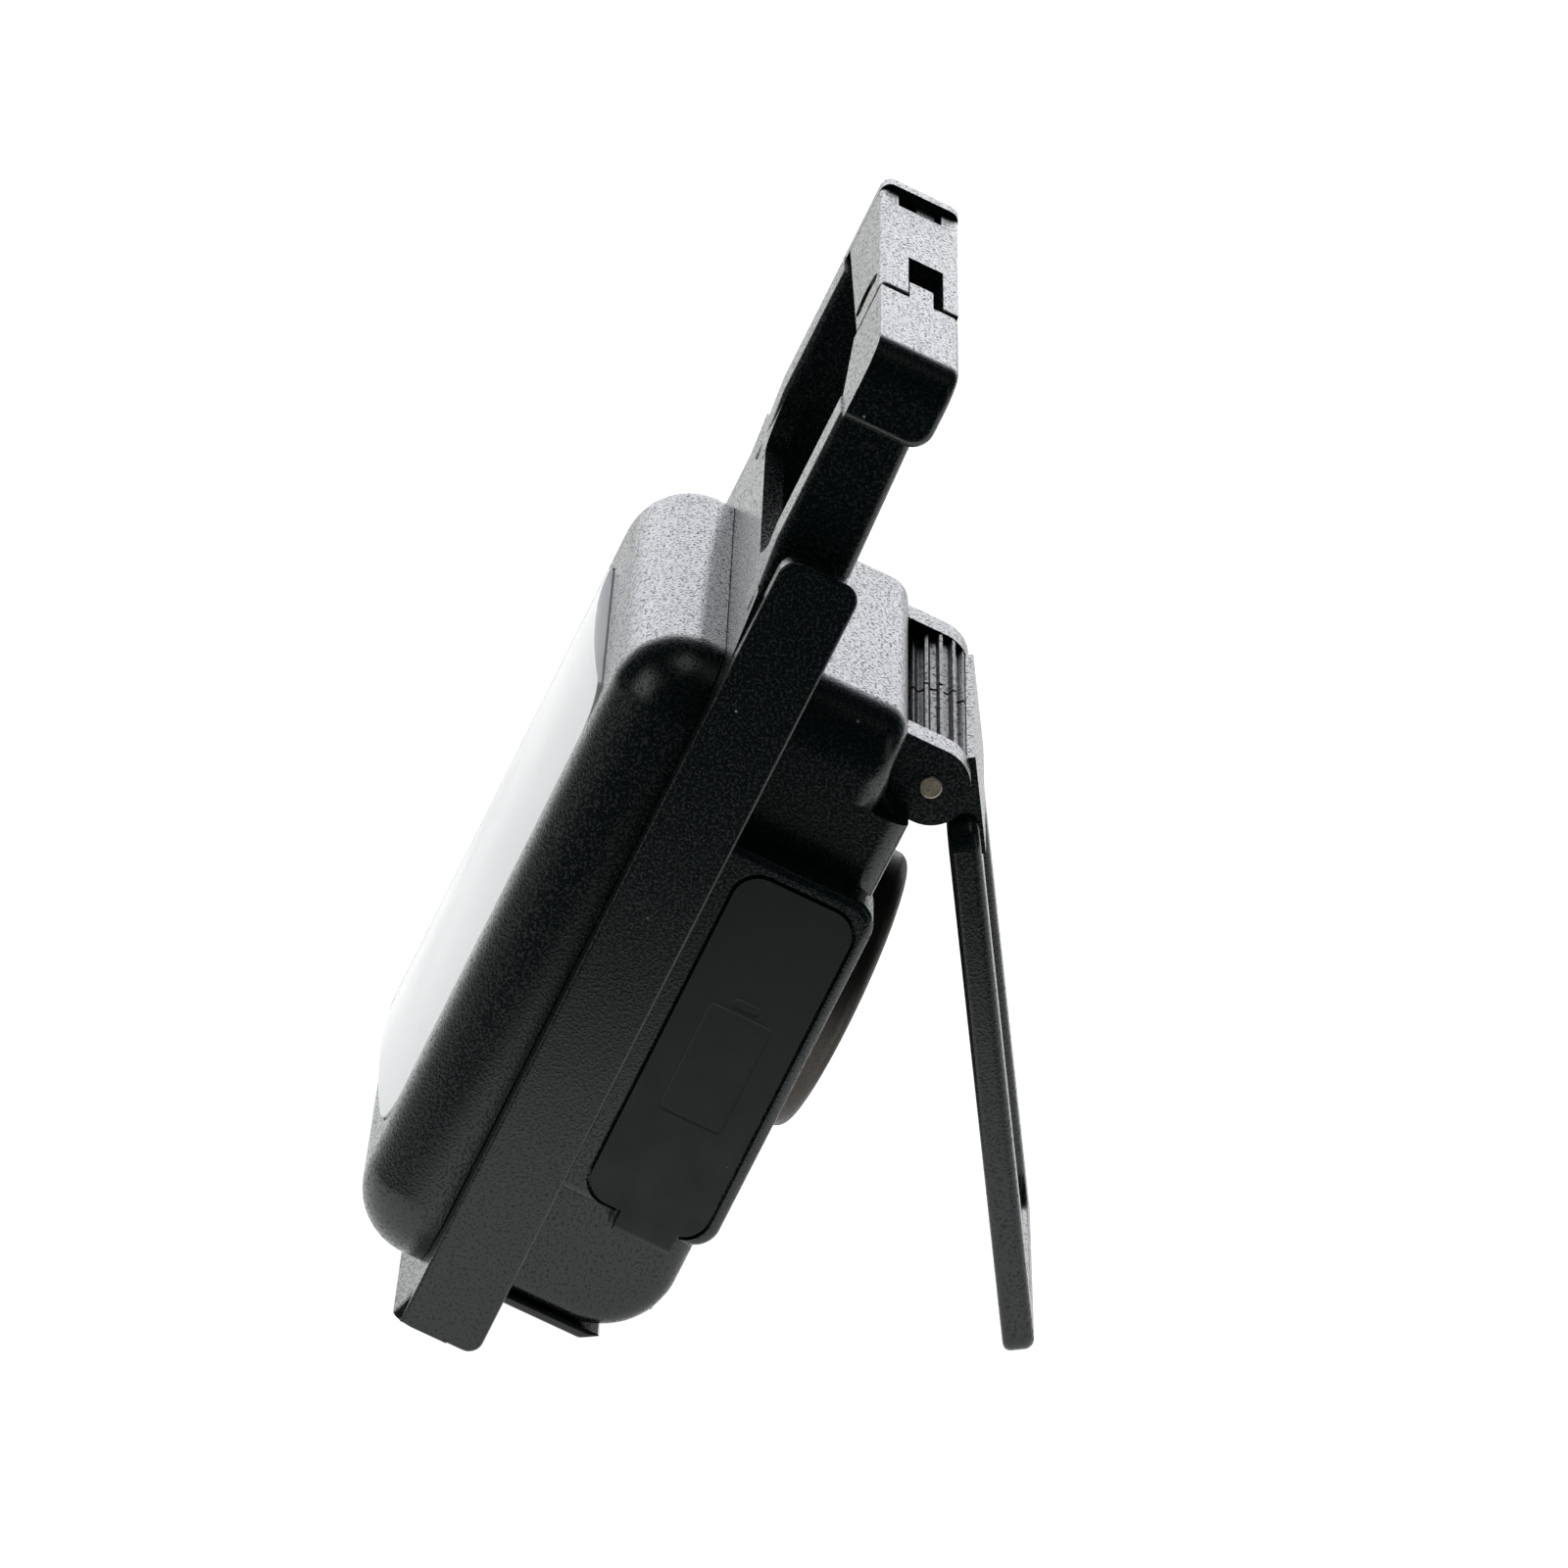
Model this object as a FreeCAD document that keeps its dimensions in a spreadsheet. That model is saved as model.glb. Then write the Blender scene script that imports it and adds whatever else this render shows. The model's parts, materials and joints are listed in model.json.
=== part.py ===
import FreeCAD, Part

import math
import os

import Sketcher

# Rechargeable work light that stands leaning back on its frame and a swing-out stand.
# Every piece is drawn in the lamp's own frame: X across the lamp, Y from the lens towards the
# back, Z up along the frame from its bottom edge.  The pieces of the stand are drawn about the
# hinge pin.  The placements then lean the whole lamp back onto the floor, Z = 0.

doc = FreeCAD.newDocument("work_light")
sheet = doc.addObject("Spreadsheet::Sheet", "Sizes")

DRIVING = [
    ("frame_width", 100.0, "outside of the two side rails"),
    ("rail_thickness", 3.6, "side rail, across"),
    ("rail_depth", 10.3, "side rail, front to back"),
    ("rail_height", 113.8, "side rail, bottom edge to rounded tip"),
    ("heel_radius", 2.0, "bottom rear edge that the frame rests on"),
    ("tip_radius", 2.5, "rounded tips of the rails"),
    ("rail_edge", 0.45, "front edges of the rails"),
    ("face_step", 0.6, "front face of the frame before the rails' datum"),
    ("lip_step", 1.1, "flared foot in front of the frame's face"),
    ("lip_height", 3.9, "flared foot, up and down"),
    ("lip_corner", 3.0, "corners of the flared foot in plan"),
    ("deck_height", 98.5, "floor of the grip pocket behind the bridge"),
    ("flare_gap", 1.2, "start of the flare above the front shell"),
    ("bridge_rise", 8.5, "bottom of the handle opening above the grip pocket's floor"),
    ("bridge_step", 0.8, "top edge of the bridge in front of the frame's face"),
    ("bridge_corner", 8.0, "lower corners of the handle opening"),
    ("bridge_depth", 1.5, "rear face of the bridge"),
    ("frame_wall", 12.0, "side walls of the frame round its inside opening"),
    ("frame_sill", 9.5, "bottom wall of the frame round its inside opening"),
    ("frame_head", 4.5, "top wall of the frame under the grip pocket"),
    ("corner_fill", 18.0, "corners of the frame filled in for the screws"),
    ("leg_inner", 33.5, "half the handle opening"),
    ("leg_width", 9.8, "handle leg, across"),
    ("leg_step", 2.0, "front face of the handle legs before the rails' datum"),
    ("leg_root", 3.5, "handle legs sunk in the frame"),
    ("leg_flare", 6.5, "slope at the foot of the handle legs"),
    ("leg_back", 9.0, "rear face of the handle legs at the bottom"),
    ("leg_taper", 1.1, "how much thinner the legs are at the top"),
    ("leg_round", 1.3, "edges of the handle legs"),
    ("block_height", 11.0, "gate and corner blocks, up and down"),
    ("handle_height", 143.0, "top of the handle"),
    ("block_front", 1.7, "front face of the corner blocks before the rails"),
    ("block_back", 9.7, "rear face of the corner blocks"),
    ("block_step", 2.2, "corner blocks outside the legs"),
    ("block_inner", 14.0, "inner end of the near corner block"),
    ("block_round", 5.2, "outer top corners of the corner blocks"),
    ("block_edge", 1.2, "lower edges of the corner blocks"),
    ("block_heel", 3.0, "rear lower edge of the near block"),
    ("catch_wall", 3.2, "end wall beyond the gate's free end"),
    ("catch_rise", 0.8, "end wall above the gate"),
    ("catch_front", 3.6, "front face of the catch"),
    ("catch_thickness", 2.6, "catch, front to back"),
    ("catch_corner", 1.5, "corners of the end wall"),
    ("catch_length", 4.5, "catch that lies in the gate's free end"),
    ("catch_height", 8.0, "catch, up and down"),
    ("gate_end_gap", 0.9, "gap between the gate and the near block"),
    ("gate_gap", 0.3, "gap between the gate and the catch wall"),
    ("gate_seat", 0.4, "gap between the gate and the far leg"),
    ("gate_rise", 2.6, "rise of the gate's underside towards its pivot"),
    ("gate_front", 1.7, "front face of the gate before the rails"),
    ("gate_back", 9.4, "rear face of the gate"),
    ("far_slot_front", 0.75, "front side of the gate's far slot"),
    ("far_slot_back", 7.0, "rear side of the gate's far slot"),
    ("far_slot_length", 6.8, "gate's far slot, from the gate's free end"),
    ("gate_round", 1.0, "edges of the gate"),
    ("pivot_x", 3.5, "gate pivot, across"),
    ("pivot_drop", 4.5, "gate pivot below the top of the handle"),
    ("pivot_radius", 1.2, "gate pivot pin"),
    ("pivot_head", 2.4, "head of the gate pivot pin"),
    ("pivot_head_thickness", 0.8, "head of the gate pivot pin"),
    ("tongue_front", 2.6, "front face of the tongues"),
    ("tongue_thickness", 3.4, "tongues in the gate's two slots"),
    ("tongue_radius", 4.0, "rounded end of the near tongue"),
    ("slot_gap", 0.4, "gap between a tongue and the gate's cheek"),
    ("slot_reach", 11.6, "closed end of the near slot beyond the pivot"),
    ("spring_room", 0.8, "room beside the tongue for the gate spring"),
    ("spring_wall", 0.6, "wire of the gate spring"),
    ("running_gap", 0.05, "radial clearance of pins that turn"),
    ("shell_width", 89.0, "front shell, across"),
    ("shell_base", 4.3, "front shell, bottom edge"),
    ("shell_height", 91.5, "front shell, up and down"),
    ("shell_depth", 11.6, "front shell, front to back"),
    ("shell_corner", 9.8, "front shell, corners in front view"),
    ("shell_round", 9.2, "front shell, rolled front edge"),
    ("shell_wall", 2.2, "front shell, wall"),
    ("lens_width", 68.6, "lens window, across"),
    ("lens_height", 66.0, "lens window, up and down"),
    ("lens_corner", 7.0, "lens window, corners"),
    ("lens_gap", 0.3, "groove round the lens"),
    ("lens_crown", 2.0, "rise of the domed lens"),
    ("lens_flange", 0.9, "flange of the lens behind the shell"),
    ("lens_flange_thickness", 1.2, "flange of the lens behind the shell"),
    ("gasket_thickness", 0.4, "lens gasket"),
    ("spreader_thickness", 2.0, "heat spreader plate"),
    ("spreader_gap", 0.5, "heat spreader inside the shell"),
    ("led_board_thickness", 1.6, "light board"),
    ("led_board_gap", 0.4, "light board inside the reflector"),
    ("reflector_wall", 1.2, "reflector tray"),
    ("housing_width", 78.4, "rear housing, across"),
    ("housing_base", 6.0, "rear housing, bottom face"),
    ("housing_height", 91.5, "rear housing, up and down"),
    ("housing_depth", 20.2, "rear housing, front to back"),
    ("housing_corner", 8.5, "rear housing, top corners in rear view"),
    ("housing_round", 3.0, "rear housing, side edges of the rear face"),
    ("housing_heel", 10.5, "rear housing, rear bottom edge"),
    ("shoulder_depth", 15.5, "upper part of the rear housing, front to back"),
    ("shoulder_drop", 12.1, "step below the top of the rear housing"),
    ("shoulder_round", 3.5, "rear edges of the upper part"),
    ("cove_radius", 3.5, "hollow round between the housing's two rear faces"),
    ("housing_wall", 2.4, "rear housing, wall"),
    ("bay_depth", 6.8, "side bays outside the housing"),
    ("bay_base", 24.3, "side bays, bottom face"),
    ("bay_height", 51.4, "side bays, up and down"),
    ("bay_rise", 1.1, "side bays behind the housing's rear face"),
    ("bay_overlap", 4.0, "how far the bays wrap onto the rear face"),
    ("bay_corner", 3.6, "rear corners of the bays"),
    ("bay_round", 1.2, "outer edges of the bays"),
    ("boss_drop", 2.4, "boss for the cover's hinge below the bay"),
    ("boss_width", 9.0, "boss for the cover's hinge, front to back"),
    ("cover_width", 16.5, "port cover, front to back"),
    ("cover_height", 48.3, "port cover, up and down"),
    ("cover_corner", 3.5, "port cover, corners"),
    ("cover_gap", 0.5, "groove round the port cover"),
    ("cover_thickness", 2.4, "port cover"),
    ("cover_front", 13.2, "port cover, front edge"),
    ("cover_base", 25.0, "port cover, bottom edge"),
    ("cover_crown", 0.1, "port cover outside the bay face"),
    ("cover_seat", 0.05, "gap under the port cover"),
    ("tab_width", 8.0, "hinge tab of the port cover"),
    ("tab_radius", 1.0, "hinge tab of the port cover"),
    ("tab_drop", 2.0, "hinge of the port cover below its bottom edge"),
    ("tab_shift", 1.5, "hinge tab behind the middle of the port cover"),
    ("port_window_height", 33.0, "window for the sockets"),
    ("port_window_width", 11.0, "window for the sockets"),
    ("bezel_thickness", 1.2, "flange of the socket bezel"),
    ("bezel_gap", 0.1, "socket bezel in its window"),
    ("socket_depth", 12.0, "sockets, along their openings"),
    ("socket_gap", 0.1, "sockets in the bezel"),
    ("socket_drop", 0.3, "mouths of the sockets under the cover's seat"),
    ("wide_socket_height", 13.1, "wide socket, up and down"),
    ("wide_socket_width", 5.7, "wide socket, front to back"),
    ("small_socket_height", 9.0, "small socket, up and down"),
    ("small_socket_width", 3.3, "small socket, front to back"),
    ("socket_spacing", 16.0, "between the middles of the sockets"),
    ("socket_wall", 0.4, "shells of the sockets"),
    ("socket_back", 24.4, "rear sides of the sockets, on the control board"),
    ("control_board_width", 18.4, "control board, across"),
    ("control_board_height", 44.0, "control board, up and down"),
    ("board_thickness", 1.6, "control board and switch board"),
    ("button_radius", 5.0, "power button"),
    ("button_gap", 0.2, "gap round the power button"),
    ("button_proud", 0.6, "power button outside the bay face"),
    ("button_travel", 0.8, "power button, press"),
    ("button_flange", 1.4, "flange of the power button"),
    ("button_flange_thickness", 1.2, "flange of the power button"),
    ("button_stem", 2.0, "radius of the stem of the power button"),
    ("button_height", 42.0, "power button above the frame's bottom edge"),
    ("switch_gap", 0.1, "gap left under a pressed button"),
    ("switch_size", 6.0, "switch body"),
    ("switch_thickness", 3.5, "switch body"),
    ("switch_board_height", 24.0, "switch board, up and down"),
    ("indicator_height", 9.0, "charge window, up and down"),
    ("indicator_width", 2.4, "charge window, front to back"),
    ("indicator_spacing", 20.0, "charge window above the power button"),
    ("cell_radius", 9.2, "battery cells"),
    ("cell_length", 65.2, "battery cells"),
    ("cell_base", 12.4, "bottom ends of the battery cells"),
    ("cell_spacing", 19.4, "between the axes of the battery cells"),
    ("cell_gap", 0.1, "cells in their cradle"),
    ("cradle_floor", 0.6, "cradle behind the cells"),
    ("cradle_wall", 1.6, "end walls and side walls of the cradle"),
    ("cradle_depth", 8.0, "cradle, front to back"),
    ("seal_width", 0.8, "housing seal"),
    ("seal_depth", 1.0, "housing seal"),
    ("screw_radius", 1.3, "housing screws"),
    ("screw_head", 2.5, "heads of the housing screws"),
    ("screw_head_height", 1.8, "heads of the housing screws"),
    ("screw_sink", 1.0, "heads of the housing screws under the rear face"),
    ("screw_gap", 0.2, "clearance of the housing screws"),
    ("screw_bite", 7.0, "housing screws in the frame"),
    ("screw_inset", 4.5, "housing screws from the housing's sides"),
    ("screw_end_inset", 7.5, "lower housing screws from the housing's bottom"),
    ("screw_top_inset", 6.5, "upper housing screws from the housing's top"),
    ("spreader_screw_radius", 1.0, "screws of the heat spreader"),
    ("spreader_screw_head", 1.8, "heads of the heat spreader's screws"),
    ("spreader_screw_inset", 2.0, "heat spreader's screws from its sides"),
    ("spreader_screw_spacing", 46.0, "between the heat spreader's screws, up and down"),
    ("small_head_height", 0.8, "heads of the small screws"),
    ("small_screw_bite", 5.0, "heat spreader's screws in the frame"),
    ("led_screw_inset", 4.0, "light board's screws from its edges"),
    ("led_screw_bite", 1.6, "light board's screws in the spreader"),
    ("magnet_radius", 20.0, "magnet cup"),
    ("magnet_height", 51.2, "middle of the magnet above the frame's bottom edge"),
    ("magnet_proud", 7.4, "magnet face behind the housing's rear face"),
    ("magnet_sink", 0.8, "magnet cup in the housing"),
    ("magnet_gap", 0.05, "clearance round the magnet and its cup"),
    ("cup_wall", 2.4, "magnet cup"),
    ("cup_round", 1.6, "edge of the magnet cup"),
    ("magnet_inset", 0.4, "magnet inside the edge of its cup"),
    ("magnet_hole", 4.0, "hole in the magnet"),
    ("magnet_screw_radius", 1.5, "magnet screw"),
    ("magnet_screw_head", 2.8, "magnet screw head"),
    ("magnet_screw_head_height", 1.8, "magnet screw head"),
    ("pin_radius", 1.5, "hinge pin"),
    ("pin_proud", 0.4, "ends of the hinge pin outside the ears"),
    ("pin_setback", 1.0, "hinge pin behind the housing's rear face"),
    ("pin_drop", 7.65, "hinge pin below the housing's top"),
    ("ear_inner", 25.2, "inner faces of the hinge ears"),
    ("ear_width", 6.3, "hinge ears, across"),
    ("ear_radius", 5.2, "round ends of the hinge ears"),
    ("trough_gap", 0.9, "trough round the hinge barrel"),
    ("barrel_radius", 5.1, "hinge barrel over its ribs"),
    ("barrel_gap", 0.3, "ends of the barrel at the ears"),
    ("barrel_split", 0.4, "half the gap between the two barrels"),
    ("rib_height", 0.9, "ribs of the hinge barrel"),
    ("rib_width", 1.0, "ribs of the hinge barrel"),
    ("rib_count", 16, "ribs of the hinge barrel"),
    ("detent_thickness", 0.4, "detent spring"),
    ("detent_width", 16.0, "detent spring, across"),
    ("detent_height", 8.0, "detent spring, up and down"),
    ("stand_angle", 32.2, "stand swung out from the frame, degrees"),
    ("stand_length", 79.03, "hinge pin to the bottom edge of the stand"),
    ("stand_thickness", 4.2, "stand plate"),
    ("stand_offset", 1.3, "front face of the stand behind the pin"),
    ("stand_leg", 7.8, "legs of the stand, across"),
    ("stand_window", 20.7, "half the window of the stand"),
    ("stand_shoulder", 6.2, "top of the stand's wide part below the pin"),
    ("stand_window_top", 13.0, "top of the stand's window below the pin"),
    ("stand_foot", 4.8, "bottom bar of the stand"),
    ("stand_corner", 2.0, "bottom corners of the stand"),
    ("stand_inner_corner", 4.0, "corners of the stand's window"),
    ("stand_edge", 1.4, "rear edges of the stand"),
    ("spine_height", 1.5, "stand's spine above the pin"),
    ("spine_thickness", 0.9, "stand's spine behind the barrel"),
    ("foot_radius", 1.0, "bottom front edge of the stand"),
    ("strip_inset", 0.3, "foot strip inside the housing's sides"),
    ("strip_depth", 14.7, "foot strip, front to back"),
    ("strip_thickness", 1.5, "foot strip"),
    ("strip_slope", 2.5, "sloped rear side of the foot strip, front to back"),
]


class Size:
    """A length or angle that knows its number and the expression that gives it."""

    def __init__(self, number, text):
        self.number = number
        self.text = text

    def join(self, sign, other, number, swap=False):
        parts = (text_of(other), self.text) if swap else (self.text, text_of(other))
        return Size(number, f"({parts[0]} {sign} {parts[1]})")

    def __float__(self):
        return float(self.number)

    def __add__(self, other):
        return self.join("+", other, self.number + float(other))

    __radd__ = __add__

    def __sub__(self, other):
        return self.join("-", other, self.number - float(other))

    def __rsub__(self, other):
        return self.join("-", other, float(other) - self.number, swap=True)

    def __mul__(self, other):
        return self.join("*", other, self.number * float(other))

    __rmul__ = __mul__

    def __truediv__(self, other):
        return self.join("/", other, self.number / float(other))

    def __neg__(self):
        return Size(-self.number, f"(0 - {self.text})")


def text_of(value):
    return value.text if isinstance(value, Size) else repr(float(value))


def size(value):
    return value if isinstance(value, Size) else Size(float(value), repr(float(value)))


def cosine(angle):
    return Size(math.cos(math.radians(angle.number)), f"cos({angle.text} * 1deg)")


def sine(angle):
    return Size(math.sin(math.radians(angle.number)), f"sin({angle.text} * 1deg)")


def arc_tangent(ratio):
    return Size(math.degrees(math.atan(ratio.number)), f"(atan({ratio.text}) / 1deg)")


def arc_sine(ratio):
    return Size(math.degrees(math.asin(ratio.number)), f"(asin({ratio.text}) / 1deg)")


def root(value):
    return Size(math.sqrt(value.number), f"sqrt({value.text})")


class Dimensions:
    """The sheet's cells by name, and the places that follow from them."""


def fill_sheet():
    """Write the driving sizes into the sheet and hand them back by name."""
    named = Dimensions()
    for row, (name, number, meaning) in enumerate(DRIVING, start=1):
        sheet.set(f"A{row}", meaning)
        sheet.set(f"B{row}", str(number))
        sheet.setAlias(f"B{row}", name)
        setattr(named, name, Size(number, f"Sizes.{name}"))
    for offset, name in enumerate(("shift_y", "shift_z"), start=1):
        row = len(DRIVING) + offset
        sheet.set(f"A{row}", "moves the lamp onto its origin")
        sheet.set(f"B{row}", "0")
        sheet.setAlias(f"B{row}", name)
        setattr(named, name, Size(0.0, f"Sizes.{name}"))
    doc.recompute()
    return named


d = fill_sheet()

# Places that follow from the driving sizes.
d.half_width = d.frame_width / 2
d.rail_inner = d.half_width - d.rail_thickness
d.face = -d.face_step
d.lip = d.face - d.lip_step
d.bridge_height = d.deck_height + d.bridge_rise
d.bridge_face = d.face - d.bridge_step
d.leg_front = -d.leg_step
d.leg_height = d.handle_height - d.block_height
d.leg_outer = d.leg_inner + d.leg_width
d.block_outer = d.leg_outer + d.block_step
d.pivot_z = d.handle_height - d.pivot_drop
d.gate_end = d.block_inner - d.gate_end_gap
d.catch_face = d.block_outer - d.catch_wall
d.gate_tip = d.catch_face - d.gate_gap
d.gate_low = d.leg_height + d.gate_seat
d.tongue_back = d.tongue_front + d.tongue_thickness
d.slot_front = d.tongue_front - d.slot_gap
d.slot_back = d.tongue_back + d.slot_gap + d.spring_room
d.catch_back = d.catch_front + d.catch_thickness

d.shell_half = d.shell_width / 2
d.shell_top = d.shell_base + d.shell_height
d.shell_rim = d.face - d.shell_depth
d.shell_inside = d.shell_rim + d.shell_wall
d.lens_middle = d.shell_base + d.shell_height / 2
d.window_half = d.lens_width / 2
d.window_low = d.lens_middle - d.lens_height / 2
d.window_high = d.lens_middle + d.lens_height / 2
d.flange_face = d.shell_inside + d.gasket_thickness
d.flange_back = d.flange_face + d.lens_flange_thickness
d.spreader_face = d.face - d.spreader_thickness
d.spreader_half = d.shell_half - d.shell_wall - d.spreader_gap
d.led_half = d.window_half - d.reflector_wall - d.led_board_gap
d.led_low = d.window_low + d.reflector_wall + d.led_board_gap
d.led_high = d.window_high - d.reflector_wall - d.led_board_gap
d.led_face = d.spreader_face - d.led_board_thickness

d.housing_half = d.housing_width / 2
d.housing_front = d.rail_depth
d.housing_back = d.housing_front + d.housing_depth
d.housing_top = d.housing_base + d.housing_height
d.wall_back = d.housing_back - d.housing_wall
d.inner_half = d.housing_half - d.housing_wall
d.inner_low = d.housing_base + d.housing_wall
d.inner_high = d.housing_top - d.housing_wall
d.screw_x = d.housing_half - d.screw_inset
d.screw_low = d.housing_base + d.screw_end_inset
d.screw_high = d.housing_top - d.screw_top_inset
d.shoulder_back = d.housing_front + d.shoulder_depth
d.shoulder_base = d.housing_top - d.shoulder_drop
d.pin_y = d.housing_back + d.pin_setback
d.pin_z = d.housing_top - d.pin_drop
d.ear_outer = d.ear_inner + d.ear_width
d.trough_front = d.pin_y - d.barrel_radius - d.trough_gap
d.trough_low = d.pin_z - d.barrel_radius - d.trough_gap

d.bay_face = d.housing_half + d.bay_depth
d.bay_top = d.bay_base + d.bay_height
d.bay_back = d.housing_back + d.bay_rise
d.cover_back = d.cover_front + d.cover_width
d.cover_top = d.cover_base + d.cover_height
d.cover_middle = d.cover_front + d.cover_width / 2
d.cover_outside = d.bay_face + d.cover_crown
d.cover_inside = d.cover_outside - d.cover_thickness
d.seat_face = d.cover_inside - d.cover_seat
d.bay_inside = d.seat_face - d.housing_wall
d.tab_x = d.bay_face - d.tab_radius
d.tab_z = d.cover_base - d.tab_drop
d.tab_middle = d.cover_middle + d.tab_shift
d.boss_base = d.bay_base - d.boss_drop
d.port_middle = d.cover_base + d.cover_height / 2
d.socket_face = d.seat_face - d.socket_drop
d.wide_socket_z = d.port_middle + d.socket_spacing / 2
d.small_socket_z = d.port_middle - d.socket_spacing / 2
d.button_inside = d.bay_face - d.housing_wall
d.stem_end = d.button_inside - d.button_flange_thickness - 3 * d.button_travel
d.switch_face = d.stem_end - d.button_travel - d.switch_gap
d.switch_back = d.switch_face - d.switch_thickness

d.cell_y = d.wall_back - d.cradle_floor - d.cell_gap - d.cell_radius
d.cradle_front = d.wall_back - d.cradle_depth
d.cradle_half = d.cell_spacing / 2 + d.cell_radius + d.cell_gap + d.cradle_wall
d.magnet_face = d.housing_back + d.magnet_proud
d.cup_base = d.housing_back - d.magnet_sink

d.stand_half = d.stand_window + d.stand_leg
d.stand_back = d.stand_offset + d.stand_thickness
d.barrel_end = d.ear_inner - d.barrel_gap

# The lean is the tangent under the frame's heel and the front edge of the stand's foot.
d.foot_y = (
    d.pin_y
    + (d.stand_length - d.foot_radius) * sine(d.stand_angle)
    + (d.stand_offset + d.foot_radius) * cosine(d.stand_angle)
)
d.foot_z = (
    d.pin_z
    - (d.stand_length - d.foot_radius) * cosine(d.stand_angle)
    + (d.stand_offset + d.foot_radius) * sine(d.stand_angle)
)
d.span_y = d.foot_y - (d.rail_depth - d.heel_radius)
d.span_z = d.foot_z - d.heel_radius
d.foot_span = root(d.span_y * d.span_y + d.span_z * d.span_z)
d.lean = arc_tangent(d.span_z / d.span_y) + arc_sine((d.heel_radius - d.foot_radius) / d.foot_span)

NODES = []
VIEWS = {"front": ("XZ_Plane", -1), "side": ("YZ_Plane", 1), "top": ("XY_Plane", 1)}
SIDES = (("near", 1), ("far", -1))
TINY = 0.01


def new_body(name):
    body = doc.addObject("PartDesign::Body", name)
    body.Label = name
    return body


def origin_feature(body, role):
    return next(feature for feature in body.Origin.OriginFeatures if feature.Role == role)


def new_sketch(body, name, view, start, stop, cut):
    """A sketch on the body's own plane, at the end that the pad or pocket starts from."""
    role, turn = VIEWS[view]
    place = start if (turn > 0) != cut else stop
    sketch = body.newObject("Sketcher::SketchObject", name)
    sketch.AttachmentSupport = [(origin_feature(body, role), "")]
    sketch.MapMode = "FlatFace"
    sketch.setExpression("AttachmentOffset.Base.z", (size(place) * turn).text)
    return sketch


def fix_point(sketch, element, point, place):
    """Hold a point of the sketch at its place from the sketch's origin."""
    for kind, value in zip(("DistanceX", "DistanceY"), place):
        value = size(value)
        index = sketch.addConstraint(Sketcher.Constraint(kind, -1, 1, element, point, float(value)))
        sketch.setExpression(f"Constraints[{index}]", value.text)


def draw_outline(sketch, corners):
    """A closed outline of straight lines through the corners."""
    spots = [FreeCAD.Vector(float(u), float(v), 0) for u, v in corners]
    count = len(spots)
    for index in range(count):
        sketch.addGeometry(Part.LineSegment(spots[index], spots[(index + 1) % count]), False)
    for index in range(count):
        following = (index + 1) % count
        sketch.addConstraint(Sketcher.Constraint("Coincident", index, 2, following, 1))
    for index, corner in enumerate(corners):
        fix_point(sketch, index, 1, corner)


def draw_circle(sketch, centre, radius):
    radius = size(radius)
    middle = FreeCAD.Vector(float(centre[0]), float(centre[1]), 0)
    circle = Part.Circle(middle, FreeCAD.Vector(0, 0, 1), float(radius))
    element = sketch.addGeometry(circle, False)
    fix_point(sketch, element, 3, centre)
    index = sketch.addConstraint(Sketcher.Constraint("Radius", element, float(radius)))
    sketch.setExpression(f"Constraints[{index}]", radius.text)


def extrude(body, name, view, shapes, start, stop, cut):
    """Pad or pocket the outlines and circles between two planes along the view."""
    start, stop = size(start), size(stop)
    sketch = new_sketch(body, f"{name}_outline", view, start, stop, cut)
    for shape in shapes:
        if isinstance(shape, Round):
            draw_circle(sketch, shape.centre, shape.radius)
        else:
            draw_outline(sketch, shape)
    feature = body.newObject("PartDesign::Pocket" if cut else "PartDesign::Pad", name)
    feature.Profile = sketch
    feature.setExpression("Length", (stop - start).text)
    doc.recompute()
    return feature


class Round:
    """A circle in a sketch."""

    def __init__(self, u, v, radius):
        self.centre = (u, v)
        self.radius = radius


def pad(body, name, view, shapes, start, stop):
    return extrude(body, name, view, shapes, start, stop, cut=False)


def pocket(body, name, view, shapes, start, stop):
    """Cut the outlines out of the body, and make sure that something was cut."""
    before = body.Shape.Volume
    feature = extrude(body, name, view, shapes, start, stop, cut=True)
    if feature.Shape.Volume > before - TINY:
        raise ValueError(f"{name} cuts nothing")
    return feature


def rectangle(left, right, low, high):
    return [(left, low), (right, low), (right, high), (left, high)]


def chamfered(left, right, low, high, cut):
    """A rectangle with its four corners cut off."""
    return [
        (left + cut, low),
        (right - cut, low),
        (right, low + cut),
        (right, high - cut),
        (right - cut, high),
        (left + cut, high),
        (left, high - cut),
        (left, low + cut),
    ]


def runs_along(edge, axis):
    if edge.Curve.TypeId != "Part::GeomLine":
        return False
    return abs(abs(edge.Curve.Direction.dot(axis)) - 1) < 1e-6


def inside(point, limits):
    """Whether a point lies in the limits, given as pairs by axis name."""
    for name, (low, high) in limits.items():
        if not float(low) - TINY <= getattr(point, name) <= float(high) + TINY:
            return False
    return True


AXES = {
    "x": FreeCAD.Vector(1, 0, 0),
    "y": FreeCAD.Vector(0, 1, 0),
    "z": FreeCAD.Vector(0, 0, 1),
}


def round_edges(body, name, radius, along=None, **limits):
    """Fillet the body's edges that lie in the limits, and run along an axis if one is given."""
    base = body.Tip
    chosen = []
    for index, edge in enumerate(base.Shape.Edges, start=1):
        if along and not runs_along(edge, AXES[along]):
            continue
        if inside(edge.CenterOfMass, limits):
            chosen.append(f"Edge{index}")
    if not chosen:
        raise ValueError(f"{name} finds no edge")
    fillet = body.newObject("PartDesign::Fillet", name)
    fillet.Base = (base, chosen)
    fillet.setExpression("Radius", size(radius).text)
    doc.recompute()
    return fillet


def at(value):
    """Limits for an edge that lies on one plane."""
    return (value, value)


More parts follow.
